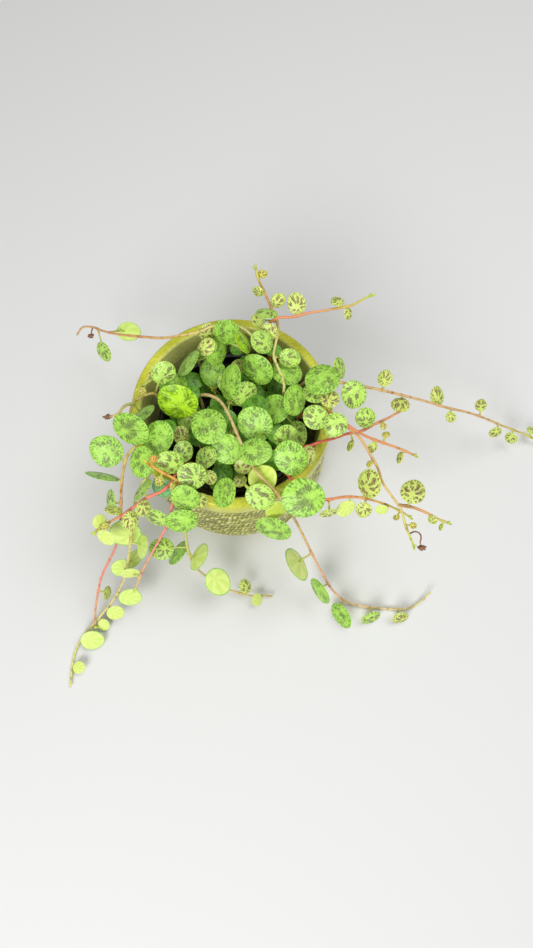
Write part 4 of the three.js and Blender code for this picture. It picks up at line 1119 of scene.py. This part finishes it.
# %% [markdown]
# Growing a leaf: its stalk starts at the nearest point of its stem and ends a third of the way
# back from the middle of the blade, or near the edge on a leaf that hangs below its stem.

# %% Growing one leaf
JOINT_SHARE, HANGING_JOINT_SHARE = 0.3, 0.9  # of the half length, back from the middle
# The first try settles most leaves, so the others are only worked out where it fails.
BATCHES = (slice(0, 1), slice(1, 9), slice(9, None))


def grow_leaf(stem, line, wanted, width, direction, lean):
    """Adds one leaf to a stem. False if there is no room for it."""
    wanted = np.array(wanted, float)
    reachable = line["points"][line["bare"] :]
    start = reachable[np.argmin(((reachable - wanted) ** 2).sum(1))]
    for rows in BATCHES:
        size, flatter, lift = TRIES[rows].T
        leans = 180 - (180 - lean) * flatter if lean > 90 else lean * flatter
        middles = wanted + TOWARDS_VIEWER * lift[:, None]
        blades = blades_at(middles, width * size, direction, leans, wanted - start)
        hangs = ((start - blades.middle) * blades.normal).sum(1) > 0
        back = np.where(hangs, HANGING_JOINT_SHARE, JOINT_SHARE) * blades.half_length
        joints = blades.middle - blades.along * back[:, None]
        count = np.ceil(np.linalg.norm(joints - start, axis=1))[:, None]
        steps = np.minimum(np.arange(STALK_STEPS), count) / count
        stalks = start + (joints - start)[:, None] * steps[..., None]
        found = first_clear(blades, stalks, stem, wanted)
        if found is not None:
            blade = blades.take(slice(found, found + 1))
            stem["blades"] = stem["blades"].joined(blade) if stem["blades"] else blade
            stem["outlines"] = np.concatenate([stem["outlines"], blade.outline()])
            stem["stalks"] = np.concatenate([stem["stalks"], stalks[found : found + 1]])
            span = np.linalg.norm(start - blade.middle[0])
            stem["reach"] = max(stem["reach"], span, blade.half_length[0])
            return True
    return False


print("tries for a leaf:", len(TRIES))

# %% The stems' lines
BARE_POINTS = ROOT_DEPTH + 3

for name, entry in STEMS.items():
    lines = [grow_line(buried(entry["route"]), BARE_POINTS)]
    leaf_lists = [entry["leaves"]]
    if "branch" in entry:
        route = np.array(entry["branch"]["route"], float)
        on_stem = lines[0]["points"]
        route[0] = on_stem[np.argmin(((on_stem - route[0]) ** 2).sum(1))]
        lines.append(grow_line(route, 0))
        leaf_lists.append(entry["branch"]["leaves"])
    plant.append({
        "name": name, "lines": lines, "lists": leaf_lists, "fill": entry["fill"],
        "points": np.vstack([line["points"] for line in lines]), "blades": None, "reach": 0,
        "outlines": np.zeros((0, len(SHARES), 3)), "stalks": np.zeros((0, STALK_STEPS, 3)),
        "tones": [],
    })
print("lines:", sum(len(stem["lines"]) for stem in plant))

# %% The chosen leaves
DEFAULT_LEAN = (-90, 15)

for stem in plant:
    for line, leaves in zip(stem["lines"], stem["lists"]):
        for number, (x, y, z, width, *lean) in enumerate(leaves):
            if grow_leaf(stem, line, (x, y, z), width, *(lean or DEFAULT_LEAN)):
                on_shoot = line is not stem["lines"][0]
                stem["tones"].append("young" if on_shoot else (stem["name"], number))
print("chosen leaves:", sum(len(stem["tones"]) for stem in plant))

# %% The low leaves
LOW_SPACING, LOW_ATTEMPTS = 9, 4  # along the stem in millimetres, and at each place
LOW_REACH, LOW_RISE, LOW_WIDTH, LOW_LEAN = (3.5, 9), 0.35, (8, 13), (5, 40)
LOW_TURN = 137.5  # degrees from one leaf to the next round the stem
LOW_SEED = 20


def seeded_random(state):
    """Numbers between 0 and 1 that are the same every time."""
    while True:
        state = state * 16807 % 2147483647
        yield state / 2147483647


chance = seeded_random(LOW_SEED)
for stem in plant:
    line = stem["lines"][0]
    last = len(line["points"]) - 1
    turn = 360 * next(chance)
    at, end = max(stem["fill"][0] * last, line["bare"]), stem["fill"][1] * last
    while at <= end:
        for _ in range(LOW_ATTEMPTS):
            turn += LOW_TURN
            reach, width = between(LOW_REACH, next(chance)), between(LOW_WIDTH, next(chance))
            lean = between(LOW_LEAN, next(chance))
            angle = math.radians(turn)
            way_out = np.array([math.cos(angle), math.sin(angle), LOW_RISE]) * reach
            if grow_leaf(stem, line, line["points"][int(at)] + way_out, width, turn, lean):
                stem["tones"].append("low")
                break
        at += LOW_SPACING
print("all leaves:", sum(len(stem["tones"]) for stem in plant))

# %% [markdown]
# ## A leaf
#
# A string-of-turtles leaf is a small fleshy disc, a little longer than wide, with a soft dome,
# a rounded edge and a blunt tip. One template leaf of a few dozen faces is made from a circle:
# insets give it rings, and a copy that is bridged to it at the rim gives it a back. A
# Subdivision Surface modifier rounds it later.
# The template is flat and one unit in radius, and its UV map is a view from straight above, so
# a pattern drawn in the UV square fits every leaf, however large it is.

# %% Template leaf
LEAF_CORNERS = 10
LEAF_INSETS = (0.14, 0.3)
# Smoothing draws the rim in from its corners, so they start this far out.
CORNER_RADIUS = 3 / (2 + math.cos(math.tau / LEAF_CORNERS))


def template_leaf():
    """A unit leaf: z 1 on its upper side and -1 on its underside, x and y in a unit disc."""
    bm = bmesh.new()
    bmesh.ops.create_circle(bm, cap_ends=True, segments=LEAF_CORNERS, radius=CORNER_RADIUS)
    for inset in LEAF_INSETS:
        middle = [face for face in bm.faces if len(face.verts) == LEAF_CORNERS]
        bmesh.ops.inset_region(bm, faces=middle, thickness=inset, use_even_offset=False)
    middle = [face for face in bm.faces if len(face.verts) == LEAF_CORNERS]
    bmesh.ops.poke(bm, faces=middle)
    for face in bm.faces:
        face.material_index = 0
    upper = list(bm.faces)
    lower = bmesh.ops.duplicate(bm, geom=list(bm.verts) + list(bm.edges) + upper)
    back = [item for item in lower["geom"] if isinstance(item, bmesh.types.BMVert)]
    bmesh.ops.translate(bm, vec=(0, 0, 1), verts=[v for v in bm.verts if v not in set(back)])
    bmesh.ops.translate(bm, vec=(0, 0, -1), verts=back)
    for item in lower["geom"]:
        if isinstance(item, bmesh.types.BMFace):
            item.material_index = 1
    rims = [edge for edge in bm.edges if edge.is_boundary]
    walls = bmesh.ops.bridge_loops(bm, edges=rims)["faces"]
    for face in walls:
        face.material_index = 0
    bmesh.ops.recalc_face_normals(bm, faces=bm.faces)
    uv = bm.loops.layers.uv.new("leaf")
    for face in bm.faces:
        face.smooth = True
        for loop in face.loops:
            loop[uv].uv = (0.5 + loop.vert.co.x / 2, 0.5 + loop.vert.co.y / 2)
    mesh = bpy.data.meshes.new("template_leaf")
    bm.to_mesh(mesh)
    print("template leaf faces:", len(bm.faces))
    bm.free()
    return mesh


leaf_template = template_leaf()

# %% [markdown]
# Placing one: each point of the template is lifted to the dome and pressed to the thin edge,
# the outline gets a blunt tip, and the whole leaf is cupped or waved a little by its own
# chance numbers. Then it goes to its blade's middle and axes. Its colours travel with it as
# attributes: the pale ground between the patches, the patches, its age and a seed.

# %% Leaf tones
# ground colour, patch colour, age from 0 (new) to 1 (full grown)
TONES = {
    "orange": ("DDB044", "A8502A", 0.0),
    "new": ("D2D25C", "82462E", 0.05),
    "lime": ("C0D40C", "784A42", 0.0),
    "young": ("D4E474", "704840", 0.2),
    "grown": ("BEE466", "5E463E", 0.55),
    "old": ("AEDE58", "5E643A", 1.0),
    "bright": ("B8E624", "5A780A", 0.8),
    "teal": ("90CE90", "506E4A", 0.9),
    # The low leaves deep in the plant get a darker green ground and patch: painted shade.
    "low": ("7CB83E", "446828", 0.9),
}
WIDTH_TONES = ((4.5, "new"), (8.6, "young"), (11.7, "grown"), (99, "old"))
SPECIAL_TONES = {
    ("orange_shoot", 0): "orange",
    ("crown_left", 1): "bright",
    ("crown_back", 1): "bright",
    ("left_red", 7): "teal",
    ("front_right", 4): "young",
    ("front_arc", 1): "lime",
    ("crown_front", 2): "lime",
}
PALE_BACK = "E6F492"


def tone_of(blade_width, tag):
    """The tone for a leaf: its own if it is special, else by its width."""
    if tag in TONES:
        return tag
    if tag in SPECIAL_TONES:
        return SPECIAL_TONES[tag]
    return next(tone for limit, tone in WIDTH_TONES if blade_width < limit)


# %% Leaf placing
PLUMP = 1.03  # the fleshy rim swells a little beyond the solid's thin one
DOME, BACK = (1.1, 0.1), (0.4, 0.12)  # how far each side stands out at the middle and the rim
CUP, WAVE, FOLD = 0.35, 0.22, (0.2, 0.15)
OVAL, TRIPLE, TIP = 0.03, 0.022, 0.05  # waves in the outline, and the blunt tip
FULL_SHAPE_RADIUS = 5  # smaller leaves are flatter


def add_leaf(bm, layers, blade, row, tone, seed):
    """Adds the template leaf to a piece at one blade."""
    first = len(bm.verts)
    bm.from_mesh(leaf_template)
    bm.verts.ensure_lookup_table()
    ground, patch, age = TONES[tone]
    middle, across, along, normal = (column[row] for column in blade.columns[:4])
    half_width, half_length = blade.half_width[row], blade.half_length[row]
    cup = CUP * (math.sin(seed * 91) - 0.2)
    wave = WAVE * math.sin(seed * 57)
    fold = FOLD[0] + FOLD[1] * math.sin(seed * 23)
    size = min(1.0, half_width / FULL_SHAPE_RADIUS)
    for vert in bm.verts[first:]:
        x, y, side = vert.co
        spread = min(1.0, x * x + y * y)
        round_off = 1 - spread**1.3
        full, thin = DOME if side > 0 else BACK
        dome = math.copysign(full * round_off + thin, side)
        turn = math.atan2(y, x)
        cupped = spread * (cup + wave * math.sin(3 * turn + seed))
        lift = size * (cupped - fold * (1 - abs(x)) * 0.3)
        twice, thrice = math.sin(2 * turn + seed), math.sin(3 * turn + 2 * seed)
        wavy = 1 + spread * (OVAL * twice + TRIPLE * thrice)
        tip = 1 + TIP * max(0.0, y) ** 6
        place = (
            middle
            + across * (x * wavy * half_width * PLUMP)
            + along * (y * wavy * tip * half_length * PLUMP)
            + normal * (dome * (0.6 + 0.4 * size) + 0.5 * lift)
        )
        vert.co = Vector(place)
        vert[layers["ground"]] = linear(ground)
        vert[layers["patch"]] = linear(patch)
        vert[layers["age"]] = age
        vert[layers["seed"]] = seed


print("leaf tones:", len(TONES))

# %% [markdown]
# ## A stem
#
# A stem is a round cord that is swept along its curve: a circle is extruded from point to
# point and turned with the path. It tapers to the tip and swells a little where a leaf stalk
# leaves it. The stalks are thinner sweeps, and each tip that is not cut ends in a bud of two
# folded leaflets.

# %% Stems and stalks
STEM_STEP, STEM_SIDES, STEM_TAPER = 2.2, 8, 0.3
NODE_SWELL, NODE_LENGTH, STEM_LIMIT = 0.22, 1.3, 1.35  # where a stalk leaves the stem
STALK_RADII, STALK_SIDES, STALK_BOW, STALK_GREEN = (0.55, 0.46, 0.42, 0.42, 0.36), 6, 0.08, "B9CC62"
DRIED_RADII = [0.36] * 8 + [0.3, 0.26, 0.2]
BUD_GREEN = "C2D24C"


def frames_along(points):
    """A matrix at each point whose Z axis follows the path, turned as little as possible."""
    points = [Vector(p) for p in points]
    frames = []
    side = None
    for i, point in enumerate(points):
        ahead, behind = points[min(i + 1, len(points) - 1)], points[max(i - 1, 0)]
        forward = (ahead - behind).normalized()
        side = forward.orthogonal() if side is None else side - forward * side.dot(forward)
        side.normalize()
        across = forward.cross(side)
        turned = Matrix((side, across, forward)).transposed().to_4x4()
        frames.append(Matrix.Translation(point) @ turned)
    return frames


def sweep(bm, points, radii, sides, layer, colours):
    """A closed round cord along points, with a radius and a colour at each of them."""
    frames = frames_along(points)
    sizes = [frame @ Matrix.Diagonal((r, r, r, 1)) for frame, r in zip(frames, radii)]
    ring = bmesh.ops.create_circle(bm, segments=sides, radius=1, matrix=sizes[0])["verts"]
    edges = list({edge for vert in ring for edge in vert.link_edges})
    bmesh.ops.contextual_create(bm, geom=edges)
    for vert in ring:
        vert[layer] = linear(colours[0])
    for before, after, colour in zip(sizes, sizes[1:], colours[1:]):
        new = bmesh.ops.extrude_edge_only(bm, edges=edges)["geom"]
        ring = [item for item in new if isinstance(item, bmesh.types.BMVert)]
        edges = [item for item in new if isinstance(item, bmesh.types.BMEdge)]
        members = set(ring)
        edges = [edge for edge in edges if edge.verts[0] in members and edge.verts[1] in members]
        bmesh.ops.transform(bm, matrix=after @ before.inverted(), verts=ring)
        for vert in ring:
            vert[layer] = linear(colour)
    bmesh.ops.contextual_create(bm, geom=edges)


def colour_at(skin, share):
    """The hex colour at a share of the way along a skin."""
    for (low, first), (high, second) in zip(skin, skin[1:]):
        if share <= high:
            part = (share - low) / (high - low)
            pairs = [(int(first[i : i + 2], 16), int(second[i : i + 2], 16)) for i in (0, 2, 4)]
            return "".join(f"{round(between(pair, part)):02X}" for pair in pairs)
    return skin[-1][1]


def add_stem(bm, layer, stem, skin):
    """A stem with its side shoot, its stalks and its buds."""
    for line in stem["lines"]:
        steps = max(4, round(line["length"] / STEM_STEP))
        points = even_points(line["route"], steps)
        shares = np.arange(steps + 1) / steps
        radii = STEM_RADIUS * (1.0 - STEM_TAPER * shares)
        for stalk in stem["stalks"]:
            gap = np.linalg.norm(points - stalk[0], axis=1)
            radii = radii + NODE_SWELL * np.exp(-((gap / NODE_LENGTH) ** 2)) * (gap.min() < 2)
        radii = np.minimum(radii, STEM_RADIUS * STEM_LIMIT)
        colours = [colour_at(skin, share) for share in shares]
        sweep(bm, points, radii, STEM_SIDES, layer, colours)
        if stem["name"] not in CUT_TIPS:
            add_bud(bm, layer, points[-1], points[-1] - points[-2])
    if stem["name"] in DRIED:
        points = even_points(DRIED[stem["name"]], len(DRIED_RADII) - 1)
        browns = [BROWN] * len(DRIED_RADII)
        sweep(bm, points, DRIED_RADII, STALK_SIDES, layer, browns)
        add_crumpled_leaflet(bm, layer, points[-1])
    for stalk in stem["stalks"]:
        start, end = stalk[0], stalk[-1]
        length = np.linalg.norm(end - start)
        along = np.linspace(0, 1, len(STALK_RADII))[:, None]
        bow = np.array([0, 0, STALK_BOW * length]) * np.sin(along * math.pi)
        points = start + (end - start) * along + bow
        near = np.linalg.norm(stem["points"] - start, axis=1).argmin() / len(stem["points"])
        base = colour_at(skin, near)
        colours = [base, colour_at(((0, base), (1, STALK_GREEN)), 0.5)] + [STALK_GREEN] * 3
        sweep(bm, points, STALK_RADII, STALK_SIDES, layer, colours)


def add_bud(bm, layer, tip, forward):
    """Two folded leaflets at a stem's tip, a long one ahead and a short one beside it."""
    forward = Vector(forward).normalized()
    side = forward.cross(Vector((0, 0, 1))).normalized()
    for lean, size in ((0.12, 1.0), (-0.8, 0.7)):
        direction = (forward + side * lean).normalized()
        place = Matrix.Translation(Vector(tip) + direction * 1.1 * size)
        turn = direction.to_track_quat("Z", "Y").to_matrix().to_4x4()
        shape = Matrix.Diagonal((0.55 * size, 0.7 * size, 1.7 * size, 1))
        new = bmesh.ops.create_uvsphere(
            bm, u_segments=8, v_segments=6, radius=1, matrix=place @ turn @ shape
        )["verts"]
        for vert in new:
            vert[layer] = linear(BUD_GREEN)


def add_crumpled_leaflet(bm, layer, place):
    """A dead leaflet: a small ball pressed flat and creased by noise."""
    new = bmesh.ops.create_icosphere(bm, subdivisions=3, radius=1)["verts"]
    for vert in new:
        crease = 0.7 + 0.9 * noise.noise(vert.co * 1.9 + Vector(place))
        flat = vert.co * crease
        vert.co = Vector(place) + Vector((1.9 * flat.x, 1.5 * flat.y - 0.6, 0.8 * flat.z))
        vert[layer] = linear(BROWN)


# %% [markdown]
# ## Leaf and stem surfaces
#
# The upper side of the leaf is what the plant is grown for. Five to seven broad pale ribs run
# out from the stalk's joint. Between two ribs lies one dark patch, which fine light lines cut
# into streaks, and a ring of short strokes follows the edge. All of this is drawn in polar
# coordinates round the joint: a cosine of the angle makes the ribs, a faster one the streaks
# and strokes, and noise, different for each leaf, bends and breaks them. New leaves have sharp
# maroon patches on yellow green, old ones soft grey-brown patches on a mottled lime ground.
#
# The surface is a waxy living skin: an IOR near 1.45 and a roughness near 0.4.

# %% Leaf pattern
# All of these are in leaf radii, or in cells per leaf radius for the noises.
WOBBLE, WOBBLE_SCALE = 0.4, 2.2  # how far and how finely noise bends the ribs
SHIVER, SHIVER_SCALE = 9.0, 4.5  # the same for the fine lines
JOINT_BACK = 0.28  # the joint lies this far behind the leaf's middle
MEETING = 2.0  # the ribs would meet again this far ahead of the joint
FEWEST_RIBS, RIB_CHOICES = 5.0, 3.0
LINES = (14.0, 24.0)  # fine lines round a new leaf and round a full-grown one


def by_age(tree, age, new, grown):
    """A value that goes from one on a new leaf to another on a full-grown one."""
    return add_node(tree, "Math", [age, grown - new, new], operation="MULTIPLY_ADD")


def leaf_pattern(tree):
    """Named values on a leaf.

    place, for noise; out, from the joint; far, from the middle; sector, 0 on a rib and 1 midway
    between two; streak, the same for the many fine lines that run beside the ribs; age.
    """
    uv = add_node(tree, "UVMap", uv_map="leaf")
    seed, age = (
        add_node(tree, "Attribute", output="Fac", attribute_name=name) for name in ("seed", "age")
    )
    flat = add_node(tree, "VectorMath", [uv, (2, 2, 0), (-1, -1, 0)], operation="MULTIPLY_ADD")
    own_slice = add_node(tree, "CombineXYZ", {"Z": seed})
    place = add_node(tree, "VectorMath", [flat, own_slice], operation="ADD")
    wobble = add_node(tree, "TexNoise", {"Vector": place, "Scale": WOBBLE_SCALE}, "Color")
    bent = add_node(
        tree, "VectorMath", [wobble, (WOBBLE, WOBBLE, 0), flat], operation="MULTIPLY_ADD"
    )
    to_joint = (-WOBBLE / 2, JOINT_BACK - WOBBLE / 2, 0)
    from_joint = add_node(tree, "VectorMath", [bent, to_joint], operation="ADD")
    out, far = (
        add_node(tree, "VectorMath", [vector], "Value", operation="LENGTH")
        for vector in (from_joint, flat)
    )
    aside, ahead = (add_node(tree, "SeparateXYZ", [from_joint], axis) for axis in "XY")
    leave = add_node(tree, "Math", [aside, ahead], operation="ARCTAN2")
    short_of_tip = add_node(tree, "Math", [MEETING, ahead], operation="SUBTRACT")
    meet = add_node(tree, "Math", [aside, short_of_tip], operation="ARCTAN2")
    turn = add_node(tree, "Math", [meet, 0.8, leave], operation="MULTIPLY_ADD")

    chance = add_node(tree, "Math", [seed, 7.31], operation="MULTIPLY")
    chance = add_node(tree, "Math", [chance], operation="FRACT")
    choice = add_node(tree, "Math", [chance, RIB_CHOICES], operation="MULTIPLY")
    choice = add_node(tree, "Math", [choice], operation="FLOOR")
    ribs = add_node(tree, "Math", [choice, FEWEST_RIBS], operation="ADD")
    rib_angle = add_node(tree, "Math", [turn, ribs], operation="MULTIPLY")
    lines = add_node(tree, "Math", [by_age(tree, age, *LINES)], operation="ROUND")
    shiver = add_node(tree, "TexNoise", {"Vector": place, "Scale": SHIVER_SCALE})
    shiver = add_node(tree, "Math", [shiver, SHIVER], operation="MULTIPLY")
    line_angle = add_node(tree, "Math", [turn, lines, shiver], operation="MULTIPLY_ADD")
    sector, streak = (
        add_node(
            tree, "Math", [add_node(tree, "Math", [angle], operation="COSINE"), half, 0.5],
            operation="MULTIPLY_ADD",
        )
        for angle, half in ((rib_angle, -0.5), (line_angle, 0.5))
    )
    return {
        "place": place, "out": out, "far": far, "sector": sector, "streak": streak, "age": age,
    }


# %% Leaf upper side
BLOTCH_SCALE, GRAIN_SCALE = 1.9, 9.0  # noise cells per leaf radius

upper, tree, shader = new_material("leaf_upper_side")
place, out, far, sector, streak, age = leaf_pattern(tree).values()
ground, patch = (add_node(tree, "Attribute", attribute_name=n) for n in ("ground", "patch"))
blotch, grain = (
    add_node(tree, "TexNoise", {"Vector": place, "Scale": scale})
    for scale in (BLOTCH_SCALE, GRAIN_SCALE)
)
blotch_off, grain_off = (
    add_node(tree, "Math", [value, 0.5], operation="SUBTRACT") for value in (blotch, grain)
)
line_value = add_node(tree, "Math", [grain, 0.5, streak], operation="MULTIPLY_ADD")
dark_line = inside(tree, (line_value, 0.55, 0.9))

# %% Leaf mottle and ribs
mottled = add_node(
    tree, "Mix", {0: 1.0, 6: ground, 7: "8EB24C"}, 2, data_type="RGBA", blend_type="MULTIPLY"
)
specks = inside(tree, (grain, 0.42, 0.58), 0.6)
specks_and_lines = add_node(tree, "Math", [dark_line, 0.4, specks], operation="MULTIPLY_ADD")
mottle = inside(
    tree, specks_and_lines, (out, 0, 0.3), (blotch, 0.3, 0.55), by_age(tree, age, 0.15, 0.85)
)
rib = inside(
    tree, (sector, 0.3, 0.0), (far, 0.9, 0.2), (out, 0.05, 0.4), by_age(tree, age, 0.35, 0.15)
)

# %% Leaf patches and strokes
between_ribs = inside(tree, (sector, 0.05, 0.6), (out, 0.14, 0.34), (far, 0.82, 0.62))
rib_share = by_age(tree, age, 1.0, 0.4)
rough_edge = add_node(tree, "Math", [grain_off, 1.1], operation="MULTIPLY")
patch_value = add_node(
    tree, "Math", [between_ribs, rib_share, rough_edge], operation="MULTIPLY_ADD"
)
patch_value = add_node(tree, "Math", [blotch_off, 3.4, patch_value], operation="MULTIPLY_ADD")
in_patch = inside(
    tree, (patch_value, by_age(tree, age, 0.5, 0.15), by_age(tree, age, 0.65, 0.75)),
    (out, 0.06, 0.2), (far, 0.84, 0.66),
)
cut_by_lines = add_node(tree, "Math", [dark_line, 0.4, 0.6], operation="MULTIPLY_ADD")
patch_amount = inside(tree, in_patch, cut_by_lines, by_age(tree, age, 0.97, 0.77))
stroke = inside(
    tree, dark_line, (grain, 0.4, 0.5), (far, 0.7, 0.8), (far, 0.98, 0.9),
    by_age(tree, age, 0.9, 0.65),
)
stroke_colour = add_node(
    tree, "Mix", {0: by_age(tree, age, 0.0, 0.75), 6: patch, 7: "5C8A34"}, 2, data_type="RGBA"
)
edge = inside(tree, (far, 0.96, 0.99), 0.3)

# %% Leaf upper side's coats
colour = ground
for amount, coat in (
    (mottle, mottled), (rib, "D4F29C"), (patch_amount, patch), (stroke, stroke_colour),
    (edge, "D6EE98"),
):
    colour = add_node(tree, "Mix", {0: amount, 6: colour, 7: coat}, 2, data_type="RGBA")
sunk_ribs = add_node(tree, "Math", [sector, 0.6], operation="MULTIPLY")
raised = add_node(tree, "Math", [in_patch, 0.4, sunk_ribs], operation="MULTIPLY_ADD")
bump = add_node(tree, "Bump", {"Height": raised, "Strength": 0.35, "Distance": 0.0005})
set_inputs(tree, shader, {
    "Base Color": colour, "Roughness": 0.4, "IOR": 1.45, "Normal": bump,
})
print("nodes in the leaf's upper side:", len(tree.nodes))

# %% [markdown]
# The underside is plain: a pale yellow green with the ribs just showing through.

# %% Leaf underside
under, tree, shader = new_material("leaf_underside")
_, _, far, sector, _, age = leaf_pattern(tree).values()
ground = add_node(tree, "Attribute", attribute_name="ground")
pale = add_node(
    tree, "Mix", {0: by_age(tree, age, 0.4, 0.9), 6: ground, 7: PALE_BACK}, 2, data_type="RGBA"
)
shadow = add_node(
    tree, "Mix", {0: 1.0, 6: pale, 7: "EEF6DC"}, 2, data_type="RGBA", blend_type="MULTIPLY"
)
colour = pale
for amount, coat in (
    (inside(tree, (sector, 0.1, 0.8)), shadow), (inside(tree, (far, 0.9, 0.97), 0.5), "E2F4A6"),
):
    colour = add_node(tree, "Mix", {0: amount, 6: colour, 7: coat}, 2, data_type="RGBA")
set_inputs(tree, shader, {"Base Color": colour, "Roughness": 0.45, "IOR": 1.45})
print("nodes in the leaf's underside:", len(tree.nodes))

# %% [markdown]
# The stem's skin is smooth and fleshy too, faintly blotched.

# %% Stem skin
BLOTCH_SIZE = 2.38

skin_material, tree, shader = new_material("stem_skin")
place = add_node(tree, "TexCoord", output="Object")
tint = add_node(tree, "Attribute", attribute_name="tint")
blotches = add_node(
    tree, "TexNoise", {"Vector": place, "Scale": 1 / (BLOTCH_SIZE * MM), "Detail": 3.0}
)
dark = add_node(
    tree, "Mix", {0: 1.0, 6: tint, 7: "C8A07C"}, 2, data_type="RGBA", blend_type="MULTIPLY"
)
is_dark = inside(tree, (blotches, 0.48, 0.75))
colour = add_node(tree, "Mix", {0: is_dark, 6: tint, 7: dark}, 2, data_type="RGBA")
set_inputs(tree, shader, {"Base Color": colour, "Roughness": 0.42, "IOR": 1.45})
print("nodes in the stem's skin:", len(tree.nodes))

# %% [markdown]
# ## The leafy stems as pieces
#
# Each leafy stem of the solid model becomes two pieces: its leaves, and its stem with stalks
# and buds.

# %% Leafy stems
PATTERN_SEED = 7
LEAF_SUBDIVISIONS = 2

pattern_chance = seeded_random(PATTERN_SEED)
leaf_count = 0
for stem in plant:
    node = "stem_" + stem["name"]
    stem_bm = bmesh.new()
    tint_layer = stem_bm.verts.layers.float_color.new("tint")
    add_stem(stem_bm, tint_layer, stem, STEMS[stem["name"]].get("skin", GREEN_SKIN))
    bmesh.ops.recalc_face_normals(stem_bm, faces=stem_bm.faces)
    for face in stem_bm.faces:
        face.smooth = True
    finish_piece("cord_" + stem["name"], stem_bm, [skin_material], [node])

    leaf_bm = bmesh.new()
    leaf_bm.loops.layers.uv.new("leaf")
    kinds = leaf_bm.verts.layers
    layers = {name: kinds.float_color.new(name) for name in ("ground", "patch")}
    layers |= {name: kinds.float.new(name) for name in ("age", "seed")}
    for row, tag in enumerate(stem["tones"]):
        width = 2 * stem["blades"].half_width[row]
        seed = 1 + 20 * next(pattern_chance)
        add_leaf(leaf_bm, layers, stem["blades"], row, tone_of(width, tag), seed)
        leaf_count += 1
    finish_piece(
        "leaves_" + stem["name"], leaf_bm, [upper, under], [node],
        LEAF_SUBDIVISIONS,
    )
print("leaves made:", leaf_count)

# %% [markdown]
# ## Floor and light
#
# A plain pale floor, and soft light: a large panel in front, as a window would give, and a
# weaker one overhead that keeps the shadows under the leaves gentle.

# %% Floor and light
FLOOR_SIZE = 3
LIGHT_TARGET = (0, 0, 0.05)

floor_bm = bmesh.new()
bmesh.ops.create_grid(floor_bm, x_segments=1, y_segments=1, size=FLOOR_SIZE)
floor_mesh = bpy.data.meshes.new("floor")
floor_bm.to_mesh(floor_mesh)
floor_bm.free()
floor = bpy.data.objects.new("floor", floor_mesh)
bpy.context.scene.collection.objects.link(floor)
floor_finish, tree, shader = new_material("pale_floor")
set_inputs(tree, shader, {"Base Color": "DCDCDA", "Roughness": 0.8})
floor_mesh.materials.append(floor_finish)


def area_light(name, place, size, watts):
    """A square light panel that faces the plant."""
    data = bpy.data.lights.new(name, "AREA")
    data.size = size
    data.energy = watts
    light = bpy.data.objects.new(name, data)
    light.location = place
    aim = Vector(LIGHT_TARGET) - Vector(place)
    light.rotation_euler = aim.to_track_quat("-Z", "Y").to_euler()
    bpy.context.scene.collection.objects.link(light)


area_light("overhead_panel", (0.35, 0.15, 0.9), 0.6, 4.6)
area_light("front_panel", (-0.25, -0.7, 0.7), 0.5, 6.8)

world = bpy.data.worlds.new("studio")
bpy.context.scene.world = world
world.use_nodes = True
backdrop = world.node_tree.nodes["Background"]
set_inputs(world.node_tree, backdrop, {"Color": "F2F4F6", "Strength": 0.34})
bpy.context.scene.view_settings.view_transform = "Standard"
print("lights:", len(bpy.data.lights))
